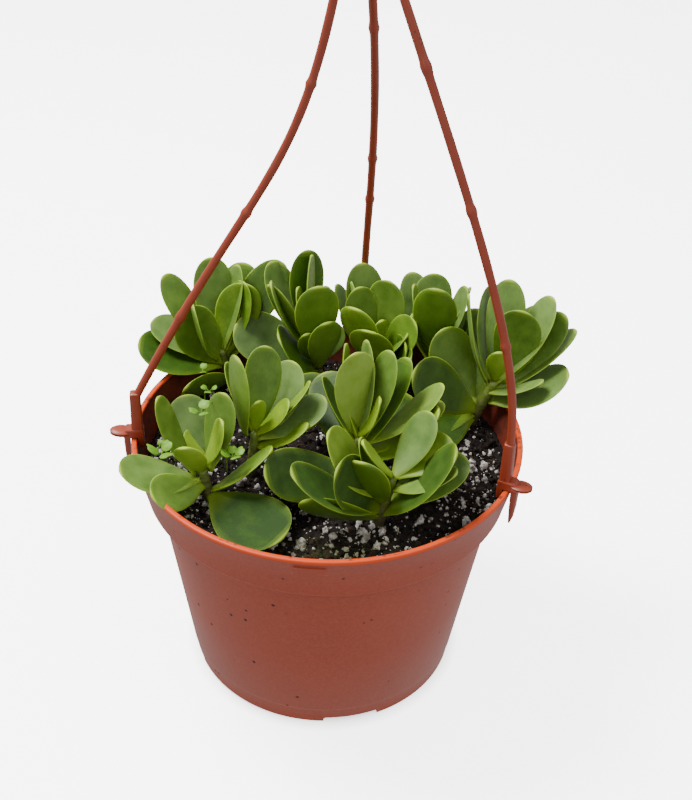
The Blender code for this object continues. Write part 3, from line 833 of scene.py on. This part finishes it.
# ---------------------------------------------------------------- hanger
def bezier(p0, p1, p2, p3, t):
    """A point at t on a cubic curve."""
    u = 1.0 - t
    return p0 * u**3 + p1 * (3 * u * u * t) + p2 * (3 * u * t * t) + p3 * t**3


def grip_radius():
    """Outer face of a clip's grip, inside the lip."""
    return RIM - LIP_WIDTH - CLIP_CLEARANCE


def post_radius():
    """Middle of a clip's post."""
    return grip_radius() - CLIP_JAW + CLIP_WIDTH / 2


def wire_piece(heading, first, second, beads):
    """One wire from its post to the hub, a little swollen at each moulding bead."""
    out = Vector((math.cos(math.radians(heading)), math.sin(math.radians(heading)), 0.0))
    up = Vector((0.0, 0.0, 1.0))
    side = up.cross(out)
    foot = out * post_radius() + up * (HEIGHT + POST_RISE - 3.0)
    hub = Vector((*HUB_CENTRE, HUB_HEIGHT))
    shape = [
        out * radius + up * (HEIGHT + rise) + side * bow
        for radius, rise, bow in (first, second)
    ]
    steps = 150
    shares = [i / steps for i in range(steps + 1)]
    route = [bezier(foot, shape[0], shape[1], hub, t) for t in shares]
    radii = []
    for t in shares:
        swell = sum(math.exp(-(((t - bead) / BEAD_LENGTH) ** 2)) for bead in beads)
        radii.append(WIRE_RADIUS * (1.0 + BEAD_SWELL * swell + 0.02 * math.sin(41 * t)))
    return solid(*tube(route, radii, 16))


def rounded_post(turn):
    """A square post with rounded corners that narrows upwards."""
    low, high = HEIGHT + 1.5, HEIGHT + POST_RISE
    around = 24
    rings = []
    for share, squeeze in ((0.0, 0.92), (0.04, 1.0), (0.93, 1.0), (0.985, 0.93), (1.0, 0.72)):
        half = (POST_WIDTHS[0] + (POST_WIDTHS[1] - POST_WIDTHS[0]) * share) / 2 * squeeze
        ring = []
        for i in range(around):
            angle = 2 * math.pi * i / around
            c, s = math.cos(angle), math.sin(angle)
            reach = half / (abs(c) ** 5 + abs(s) ** 5) ** 0.2
            place = (post_radius() + reach * c, reach * s, low + (high - low) * share)
            ring.append(turn @ Vector(place))
        rings.append(ring)
    return lofted(rings)


def jaw(turn):
    """The bridge over the lip with the grip inside, as one bent strip with eased edges."""
    inner = grip_radius()
    outer = RIM + CLIP_CLEARANCE
    low = HEIGHT - CLIP_GRIP_DEPTH
    over = HEIGHT + 0.3
    top = over + CLIP_BRIDGE
    outline = [
        (inner - CLIP_JAW + 0.5, low), (inner, low + 0.6),
        (inner, over), (outer + CLIP_JAW, over), (outer + CLIP_JAW, top - 1.2),
        (outer + CLIP_JAW - 1.2, top), (inner - CLIP_JAW + 0.8, top), (inner - CLIP_JAW, top - 0.8),
        (inner - CLIP_JAW, low + 0.6),
    ]
    middle = sum((Vector((x, 0.0, z)) for x, z in outline), Vector()) / len(outline)
    half = CLIP_WIDTH / 2
    rings = []
    for y, squeeze in ((-half, 0.9), (0.35 - half, 1.0), (half - 0.35, 1.0), (half, 0.9)):
        ring = []
        for x, z in outline:
            flat = Vector((x, 0.0, z))
            eased = middle + (flat - middle) * squeeze if squeeze < 1.0 else flat
            ring.append(turn @ Vector((eased.x, y, eased.z)))
        rings.append(ring)
    return lofted(rings)


def tail(turn):
    """The pointed tongue that lies down outside the band."""
    outer = RIM + CLIP_CLEARANCE
    face = outer + CLIP_JAW
    wide = CLIP_WIDTH / 2
    sections = (
        (face, wide - 0.2, HEIGHT + 2.4), (face, wide - 0.3, HEIGHT - 2.0),
        (face - 0.2, wide - 0.7, HEIGHT - 8.0), (face - 0.7, wide - 1.5, HEIGHT - 13.0),
        (outer + 0.6, 0.35, HEIGHT - CLIP_TAIL_DEPTH),
    )
    rings = []
    for x, half, z in sections:
        bevel = 0.3 * half
        ring = (
            (outer, -half), (x - bevel, -half), (x, bevel - half),
            (x, half - bevel), (x - bevel, half), (outer, half),
        )
        rings.append([turn @ Vector((a, b, z)) for a, b in ring])
    return lofted(rings)


def thumb_tab(turn):
    """Two flat petals, one over the other, that the thumb presses."""
    rings = []
    length, breadth = 4.4, 3.3
    x0 = RIM + CLIP_CLEARANCE + 3.0
    z0 = HEIGHT + 0.3 + 0.5 * CLIP_BRIDGE
    around = 40
    upper = ((0.14, 0.93), (0.55, 1.0), (1.0, 0.86), (1.25, 0.55))
    lower = tuple((-level, size) for level, size in reversed(upper))
    for level, size in (*lower, (0.0, 0.80), *upper):
        ring = []
        for i in range(around):
            angle = 2 * math.pi * i / around
            ring.append(turn @ Vector((
                x0 + length * size * math.cos(angle), breadth * size * math.sin(angle),
                z0 + level * 0.9 + 0.05 * length * math.cos(angle),
            )))
        rings.append(ring)
    return lofted(rings)


def hub_piece():
    """The small cone that the wires and the hook run into."""
    half = HUB_THICKNESS / 2
    profile = [
        (0.0, half), (0.62 * HUB_RADIUS, half), (0.72 * HUB_RADIUS, half - 0.5),
        (HUB_RADIUS - 0.4, 0.4 - half), (HUB_RADIUS - 0.9, -half), (0.0, -half),
    ]
    points, faces = turned(profile, 40)
    x, y = HUB_CENTRE
    return solid([(px + x, py + y, pz + HUB_HEIGHT) for px, py, pz in points], faces)


def hook_piece():
    """Up from the hub and round the hook, narrowed at its tip."""
    x, y = HUB_CENTRE
    route = [Vector((x, y, HUB_HEIGHT)), Vector((x, y, HUB_HEIGHT + HUB_THICKNESS / 2))]
    start, end = HOOK_TURN
    steps = 60
    for i in range(steps + 1):
        turn = math.radians(start + (end - start) * i / steps)
        height = HANG - HOOK_INNER_RADIUS + HOOK_RADIUS * math.sin(turn)
        route.append(Vector((x + HOOK_RADIUS * math.cos(turn), y, height)))
    tip = [0.86 * HOOK_WIRE_RADIUS, 0.5 * HOOK_WIRE_RADIUS]
    return solid(*tube(route, [HOOK_WIRE_RADIUS] * (len(route) - 2) + tip, 18))


def make_hanger():
    """The hanger in one piece: hub, hook, and three wires with their clips."""
    hub = hub_piece()
    pieces = [hook_piece()]
    for heading, first, second, beads in WIRES.values():
        turn = Matrix.Rotation(math.radians(heading), 4, "Z")
        pieces.append(wire_piece(heading, first, second, beads))
        pieces += [part(turn) for part in (jaw, rounded_post, tail, thumb_tab)]
    combined(hub, pieces, "UNION")
    finished(hub, "moulded_hanger", hanger_finish(), 38.0)
    settle(hub, "hanger_plastic", "wire_hanger")


# ---------------------------------------------------------------- soil
def spot(x, y, middle, spread):
    """1 at the middle of a soft oval spot, falling away over its spread."""
    return math.exp(-(((x - middle[0]) / spread[0]) ** 2) - ((y - middle[1]) / spread[1]) ** 2)


def film_at(x, y):
    """How green the soil's film is: strongest near the front rim, patchy elsewhere."""
    return min(1.0, spot(x, y, (6.0, -58.0), (26.0, 11.0)) + 0.6 * spot(x, y, (-52.0, -36.0), (9.0, 10.0)))


def soil_height(x, y):
    """Uneven soil: a slow swell, clods and crumbs, lower against the wall."""
    reach = math.hypot(x, y) / SOIL_RADIUS
    swell = noise.noise(Vector((x * 0.03, y * 0.03, 2.0))) * 1.6
    clods = noise.noise(Vector((x * 0.16, y * 0.16, 5.0))) * 1.3
    crumbs = noise.noise(Vector((x * 0.6, y * 0.6, 9.0))) * 1.3
    return SOIL_TOP + swell + clods + crumbs - 1.2 * reach**6 - 0.2


def ring_points(radius, height, shift):
    """A level ring of points, or one that lies on the soil where no height is given."""
    points = []
    for i in range(SOIL_SEGMENTS):
        turn = 2 * math.pi * (i + shift) / SOIL_SEGMENTS
        x, y = radius * math.cos(turn), radius * math.sin(turn)
        points.append((x, y, soil_height(x, y) if height is None else height))
    return points


def make_soil():
    """The soil: an uneven top, and plain sides and floor that follow the inside of the pot."""
    floor = (soil_low.z - pot_low.z) / MM + 0.2
    points = [(0.0, 0.0, soil_height(0.0, 0.0))]
    for ring in range(1, SOIL_RINGS + 1):
        radius = (SOIL_RADIUS - 0.1) * (ring / SOIL_RINGS) ** 0.9
        points += ring_points(radius, None, 0.5 * (ring % 2))
    film = [film_at(x, y) for x, y, _ in points]
    film[0] = 0.0
    band_bottom = HEIGHT - BAND_HEIGHT + 1.9
    for radius, height in (
        (band_radius(band_bottom) - WALL - 0.8, band_bottom),
        (body_radius(HEIGHT - BAND_HEIGHT) - WALL - 0.6, band_bottom),
        (body_radius(floor) - WALL - 2.6, floor),
    ):
        points += ring_points(radius, height, 0.0)
    points.append((0.0, 0.0, floor))
    film += [0.0] * (len(points) - len(film))
    sides = strip_faces(SOIL_RINGS + 3, SOIL_SEGMENTS, False)
    faces = [tuple(n + 1 for n in reversed(face)) for face in sides]
    last = len(points) - 1
    for i in range(SOIL_SEGMENTS):
        j = (i + 1) % SOIL_SEGMENTS
        faces.append((0, 1 + i, 1 + j))
        faces.append((last, last - SOIL_SEGMENTS + j, last - SOIL_SEGMENTS + i))
    piece = Piece()
    piece.add(points, faces, film=np.array(film))
    settle(piece.make("peat_soil", soil_finish()), "soil", "potting_soil")


def lump(subdivisions, roughness, seed):
    """Unit-sized irregular grain."""
    bm = bmesh.new()
    bmesh.ops.create_icosphere(bm, subdivisions=subdivisions, radius=1.0)
    points = []
    for vert in bm.verts:
        shift = noise.noise(vert.co * 1.6 + Vector((seed * 7.3, seed * 3.1, seed * 1.7)))
        pits = noise.noise(vert.co * 4.5 + Vector((seed * 2.3, 0.0, seed)))
        points.append(vert.co * (1.0 + roughness * (shift * 1.2 + pits * 0.45)))
    faces = [tuple(v.index for v in face.verts) for face in bm.faces]
    bm.free()
    return np.array([tuple(p) for p in points]), faces


def scatter_place(gathered):
    """A random place on the soil; gathered is how strongly grains collect in the thick patches."""
    while True:
        radius = (SOIL_RADIUS - 2.0) * rng.random() ** 0.45
        turn = rng.random() * 2 * math.pi
        x, y = radius * math.cos(turn), radius * math.sin(turn)
        patch = sum(spot(x, y, middle, PATCH_SPREAD) for middle in PERLITE_PATCHES)
        if rng.random() < 1 - gathered + gathered * min(1.0, 0.25 + patch):
            return x, y


def grains(name, count, sizes, subdivisions, roughness, gathered, material):
    """Loose grains half sunk in the soil."""
    shapes = [lump(subdivisions, roughness, seed) for seed in range(1, 8)]
    piece = Piece()
    for _ in range(count):
        x, y = scatter_place(gathered)
        size = sizes[0] + (sizes[1] - sizes[0]) * rng.random() ** 3
        points, faces = shapes[rng.integers(len(shapes))]
        turn = np.array(Euler(tuple(rng.random(3) * 6.28)).to_matrix())
        stretch = np.array((1.0, 0.75 + 0.3 * rng.random(), 0.6 + 0.3 * rng.random()))
        placed = (points * stretch) @ turn.T * size
        height = soil_height(x, y) + size * 0.25
        film = film_at(x, y) * rng.random() ** 0.5
        piece.add(placed + np.array((x, y, height)), faces, film=film)
    settle(piece.make(name, material), "soil")


def fibre_route(x, y):
    """Five points of a bent fibre on the soil, or fewer where it would run into the wall."""
    turn = rng.random() * math.pi
    half = 1.2 + 2.6 * rng.random()
    bend = (rng.random() - 0.5) * 1.2
    route = []
    for share in (-1.0, -0.4, 0.2, 0.7, 1.0):
        off = bend * (1 - share * share)
        px = x + half * share * math.cos(turn) - off * math.sin(turn)
        py = y + half * share * math.sin(turn) + off * math.cos(turn)
        if math.hypot(px, py) > SOIL_RADIUS - 1.0:
            break
        route.append(Vector((px, py, soil_height(px, py) + 0.35)))
    return route


def fibres(material):
    """Short bark and root fibres lying on the peat."""
    piece = Piece()
    for _ in range(FIBRE_COUNT):
        route = fibre_route(*scatter_place(0.0))
        if len(route) == 5:
            radius = 0.16 + 0.18 * rng.random()
            radii = [radius * share for share in (0.5, 1.0, 1.0, 1.0, 0.4)]
            piece.add(*tube(route, radii, 6), film=0.0)
    settle(piece.make("bark_fibres", material), "soil")


def make_loose_pieces():
    """Perlite, crumbs of peat and fibres."""
    perlite = perlite_finish()
    peat = bpy.data.materials["peat"]
    grains("perlite_coarse", PERLITE_COARSE, (0.9, 2.2), 3, 0.55, 0.9, perlite)
    grains("perlite_fine", PERLITE_FINE, (0.25, 0.85), 2, 0.6, 0.8, perlite)
    grains("peat_crumbs", CRUMB_COUNT, (0.4, 1.7), 2, 0.8, 0.0, peat)
    fibres(peat)


# ---------------------------------------------------------------- leaves
LEAF_STATIONS = 30
LEAF_AROUND = 22


def spoon_half_width(t, width):
    """Wedge from the stalk to the widest point, then a round tip."""
    rise, fall = 0.95, 0.5
    widest = rise / (rise + fall)
    blade = 0.5 * width * (t / widest) ** rise * ((1 - t) / (1 - widest)) ** fall
    stalk = LEAF_BASE_HALF_WIDTH * (1 - t) ** 0.6
    return math.hypot(blade, stalk)


def leaf_points(length, width, whim):
    """A leaf along +X with its face to +Z.  Whim is four numbers from -1 to 1 that make it its own."""
    arch, sway, cup, wave = whim
    points, edge, along, upper, grain = [], [], [], [], []
    for i in range(LEAF_STATIONS + 1):
        t = 1.0 - (1.0 - i / LEAF_STATIONS) ** 1.7
        half = max(spoon_half_width(t, width), 0.05)
        depth = LEAF_HALF_DEPTH * (1 - 0.5 * t) * min(1.0, (half / (0.16 * width)) ** 0.5)
        droop = 0.035 * length * max(0.0, t - 0.72) * (1 + arch)
        lift = -(0.05 + 0.025 * arch) * length * 4 * t * (1 - t) - droop
        drift = 0.018 * length * sway * math.sin(math.pi * t)
        for k in range(LEAF_AROUND):
            turn = 2 * math.pi * k / LEAF_AROUND
            c, s = math.cos(turn), math.sin(turn)
            across = math.copysign(abs(c) ** 0.85, c)
            rise = (0.10 + 0.04 * cup) * half * across * across
            crease = -0.10 * math.exp(-((across / 0.16) ** 2)) * (1 - t) * max(s, 0.0)
            ripple = 0.10 * wave * across * abs(across) * math.sin(7.0 * t + 2.0 * wave)
            thick = depth * math.copysign(abs(s) ** 1.35, s)
            height = lift + rise + crease + ripple + thick
            points.append((t * length, half * across + drift, height))
            edge.append(abs(across) if t < 0.93 else max(abs(across), t))
            along.append(t)
            upper.append(1.0 if s > 0 else 0.0)
            grain.append((t * length, half * across, 0.0))
    values = {"edge": edge, "along": along, "upper": upper, "grain": grain}
    return np.array(points), {name: np.array(value) for name, value in values.items()}


def grow_leaf(piece, base, tip, side, face, width, tone, bloom):
    """Adds one leaf between two points, with its own small irregularities."""
    along = (tip - base).normalized()
    side = (side - along * side.dot(along)).normalized()
    face = along.cross(side) if along.cross(side).dot(face) > 0 else -along.cross(side)
    turn = np.array((tuple(along), tuple(side), tuple(face)))
    points, values = leaf_points((tip - base).length, width, rng.uniform(-1, 1, 4))
    faces = strip_faces(LEAF_STATIONS + 1, LEAF_AROUND)
    if turn[0] @ np.cross(turn[1], turn[2]) < 0:
        faces = [corners[::-1] for corners in faces]
    values["grain"] = values["grain"] + np.array((0.0, 0.0, rng.uniform(0, 900)))
    values["tone"] = min(1.0, max(0.0, tone + rng.uniform(-0.05, 0.05)))
    piece.add(points @ turn + np.array(base), faces, bloom=bloom, **values)


def pot_place(point):
    """A point of the model, in metres, as the pot's millimetres."""
    return (Vector(point) - FOOT) / MM


def read_leaf(node):
    """Base, tip, side, face and width of a modelled leaf, from its mesh."""
    points = np.array([tuple(v.co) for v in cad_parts[node].data.vertices])
    points = np.unique(np.round(points, 7), axis=0)
    middle = points.mean(axis=0)
    axes = np.linalg.svd(points - middle, full_matrices=False)[2]
    along = (points - middle) @ axes[0]
    low = points[along < along.min() + 0.0004]
    high = points[along > along.max() - 0.0004]
    if np.ptp(low @ axes[1]) < np.ptp(high @ axes[1]):
        low, high = high, low
    face = Vector(axes[2]) if axes[2][2] > 0 else -Vector(axes[2])
    width = np.ptp(points @ axes[1]) / MM
    return pot_place(low.mean(axis=0)), pot_place(high.mean(axis=0)), Vector(axes[1]), face, width


def stem_line(shoot):
    """The stem's root on the soil line, and its growing tip."""
    (share, heading), lean, rise = STEMS[shoot]
    root = direction(heading, 0.0) * share * SOIL_RADIUS
    root.z = SOIL_TOP
    return root, Vector((root.x + lean[0], root.y + lean[1], HEIGHT + rise))


def direction(heading, pitch):
    """A unit vector from a heading and a pitch in degrees."""
    heading, pitch = math.radians(heading), math.radians(pitch)
    flat = math.cos(pitch)
    return Vector((flat * math.cos(heading), flat * math.sin(heading), math.sin(pitch)))


def grow_listed(piece, shoot, leaf):
    """A leaf given by its place on the stem and its direction."""
    height, heading, pitch, twist, length, width, tone, bloom = leaf
    root, top = stem_line(shoot)
    node = root.lerp(top, (HEIGHT + height - root.z) / (top.z - root.z))
    tip = node + direction(heading, pitch) * length
    along = (tip - node).normalized()
    side = Vector((0.0, 0.0, 1.0)).cross(along).normalized()
    side.rotate(Matrix.Rotation(math.radians(twist), 3, along))
    base = node + along * 1.2
    grow_leaf(piece, base, tip, side, along.cross(side), width, tone, bloom)


def stem_route(shoot):
    """Points and radii of a stem, a little thicker at each of its joints."""
    root, top = stem_line(shoot)
    foot = root - Vector((0.0, 0.0, SOCKET_DEPTH))
    steps, buried = 34, 8
    route, radii = [], []
    for i in range(steps + 1):
        above = (i - buried) / (steps - buried)
        route.append(foot.lerp(root, i / buried) if above < 0 else root.lerp(top, above))
        joint = abs(math.sin(math.pi * 5 * max(0.0, above))) ** 8
        radius = STEM_RADIUS + (STEM_TIP_RADIUS - STEM_RADIUS) * i / steps
        radii.append(radius * (0.97 + 0.12 * joint))
    radii[-1] *= 0.5
    return route, radii


def make_stem(shoot, leaf, stem):
    """The stem with the leaves that have grown into it."""
    piece = Piece()
    plain = {"edge": 0.0, "along": 1.0, "upper": 1.0, "grain": (0.0, 0.0, 0.0), "tone": 0.5, "bloom": 0.0}
    piece.add(*tube(*stem_route(shoot), 16), **plain)
    stem_faces = len(piece.faces)
    for young in YOUNG.get(shoot, ()):
        grow_listed(piece, shoot, young)
    obj = piece.make(f"grown_{shoot}_stem", stem)
    obj.data.materials.append(leaf)
    for polygon in obj.data.polygons[stem_faces:]:
        polygon.material_index = 1
    settle(obj, "stem", f"{shoot}_stem")


def make_plant():
    """Every shoot: its stem, its modelled leaves one by one, and its other leaves as one piece."""
    leaf = leaf_finish()
    stem = stem_finish()
    for shoot, looks in LEAF_LOOKS.items():
        make_stem(shoot, leaf, stem)
        for number, (tone, bloom) in enumerate(looks, 1):
            node = f"{shoot}_leaf_{number}"
            base, tip, side, face, width = read_leaf(node)
            piece = Piece()
            inward = (tip - base).normalized() * 1.5
            grow_leaf(piece, base - inward, tip, side, face, width, tone, bloom)
            settle(piece.make(f"grown_{node}", leaf), "leaf", node)
        piece = Piece()
        for small in SMALL[shoot]:
            grow_listed(piece, shoot, small)
        settle(piece.make(f"small_leaves_{shoot}", leaf), "leaf")


# ---------------------------------------------------------------- seedlings
def notched_leaf(piece, crown, out, reach):
    """A thin round leaf on a short stalk, notched at its far end."""
    across = Vector((0.0, 0.0, 1.0)).cross(out).normalized()
    up = out.cross(across)
    middle = crown + out * (reach + 1.2)
    piece.add(*tube([crown, middle - out * reach * 0.6], (0.2, 0.2), 6))
    rings = []
    around = 22
    for level, spread in ((-0.16, 0.9), (0.0, 1.0), (0.16, 0.9)):
        ring = []
        for k in range(around):
            angle = 2 * math.pi * k / around
            from_notch = min(angle, 2 * math.pi - angle)
            size = reach * spread * (1.0 - 0.28 * math.exp(-((from_notch / 0.35) ** 2)))
            flat = (out * math.cos(angle) + across * math.sin(angle)) * size
            ring.append(middle + flat + up * (level + 0.10 * reach * math.cos(angle) ** 2))
        rings.append(ring)
    piece.add([tuple(p) for ring in rings for p in ring], strip_faces(len(rings), around))


def make_seedlings():
    """Weed seedlings: a thread of a stem with a few round notched leaves."""
    piece = Piece()
    steps = 12
    for (x, y), crown, count, size in SEEDLINGS:
        foot = Vector((x, y, soil_height(x, y) - 0.5))
        crown = Vector(crown)
        above = Vector((x, y, crown.z - 4.0))
        route = [bezier(foot, above, above, crown, i / steps) for i in range(steps + 1)]
        piece.add(*tube(route, [0.3 - 0.008 * i for i in range(steps + 1)], 8))
        first = rng.random() * 360
        for i in range(count):
            heading = first + 360 * i / count + rng.uniform(-15, 15)
            out = direction(heading, 20 + 20 * rng.random())
            notched_leaf(piece, crown, out, size * rng.uniform(0.8, 1.1))
    settle(piece.make("weed_seedlings", seedling_finish()), "leaf")


# ---------------------------------------------------------------- studio
def set_stage(obj, name, finish):
    """A surface behind the object that is bright to look at and throws no light of its own."""
    obj.name = name
    obj.data.materials.append(finish.material)
    obj.data.shade_smooth()
    obj.visible_diffuse = False
    obj.visible_glossy = False


def floor_finish():
    """Pale floor, with a painted shadow where the pot stands on it."""
    made = Finish("pale_floor", Roughness=0.9, Specular_IOR_Level=0.1, Emission_Strength=4.5)
    place = made.place()
    across, depth = place.part(0) / MM, place.part(1) / MM
    # painted shadow: the floor's glow is darkened in a soft disc under the pot
    shadow_under_pot = 1 - ((across * across + depth * depth) ** 0.5).above(BASE_RADIUS, 9.0)
    white = made.mix(made.noise(place, 3.0, 2.0), (0.88, 0.88, 0.88), (0.90, 0.90, 0.90))
    made.give(Base_Color=white, Emission_Color=made.mix(shadow_under_pot, white, (0.05, 0.045, 0.04)))
    return made


def backdrop_finish():
    """Nearly even white."""
    made = Finish("pale_backdrop", Base_Color=(0.0, 0.0, 0.0), Specular_IOR_Level=0.0, Emission_Strength=6.0)
    tone = made.noise(made.place(), 0.5, 1.0)
    made.give(Emission_Color=made.mix(tone, (0.98, 0.98, 0.98), (1.0, 1.0, 1.0)))
    return made


def make_lamp(name, heading, pitch, distance, size, power):
    """A round soft lamp that looks at the middle of the rim."""
    rim_centre = FOOT + Vector((0.0, 0.0, HEIGHT * MM))
    light = bpy.data.lights.new(name, "AREA")
    light.shape = "DISK"
    light.size = size
    light.energy = power
    lamp = bpy.data.objects.new(name, light)
    bpy.context.scene.collection.objects.link(lamp)
    lamp.location = rim_centre + direction(heading, pitch) * distance
    lamp.rotation_euler = (rim_centre - lamp.location).to_track_quat("-Z", "Y").to_euler()


def make_studio():
    """Pale floor and backdrop, with soft light all round."""
    bpy.ops.mesh.primitive_plane_add(size=FLOOR_SIZE, location=(FOOT.x, FOOT.y, FOOT.z - 0.0004))
    set_stage(bpy.context.object, "floor", floor_finish())
    bpy.ops.mesh.primitive_uv_sphere_add(
        segments=96, ring_count=48, radius=BACKDROP_RADIUS, location=FOOT,
    )
    set_stage(bpy.context.object, "backdrop", backdrop_finish())
    bpy.context.object.visible_shadow = False

    scene = bpy.context.scene
    world = scene.world or bpy.data.worlds.new("studio")
    scene.world = world
    world.use_nodes = True
    background = world.node_tree.nodes["Background"]
    background.inputs["Color"].default_value = (1.0, 1.0, 1.0, 1.0)
    background.inputs["Strength"].default_value = WORLD_LIGHT
    for name, lamp in LAMPS.items():
        make_lamp(name, *lamp)


def make_camera():
    """Looks down at the pot from the front, rolled by two degrees."""
    aim = Vector(VIEW_AIM)
    back = Vector((0.0, -math.cos(VIEW_PITCH), math.sin(VIEW_PITCH)))
    right = Vector((1.0, 0.0, 0.0))
    up = back.cross(right)
    x_axis = right * math.cos(VIEW_ROLL) + up * math.sin(VIEW_ROLL)
    y_axis = up * math.cos(VIEW_ROLL) - right * math.sin(VIEW_ROLL)
    data = bpy.data.cameras.new("camera")
    data.sensor_fit = "VERTICAL"
    data.sensor_height = 36.0
    data.lens = VIEW_LENS
    data.clip_start = 0.01
    camera = bpy.data.objects.new("camera", data)
    bpy.context.scene.collection.objects.link(camera)
    turn = Matrix((x_axis, y_axis, back)).transposed().to_4x4()
    camera.matrix_world = Matrix.Translation(FOOT + (aim + back * VIEW_DISTANCE) * MM) @ turn
    bpy.context.scene.camera = camera


make_camera()
make_pot()
make_hanger()
make_soil()
make_loose_pieces()
make_plant()
make_seedlings()
make_studio()
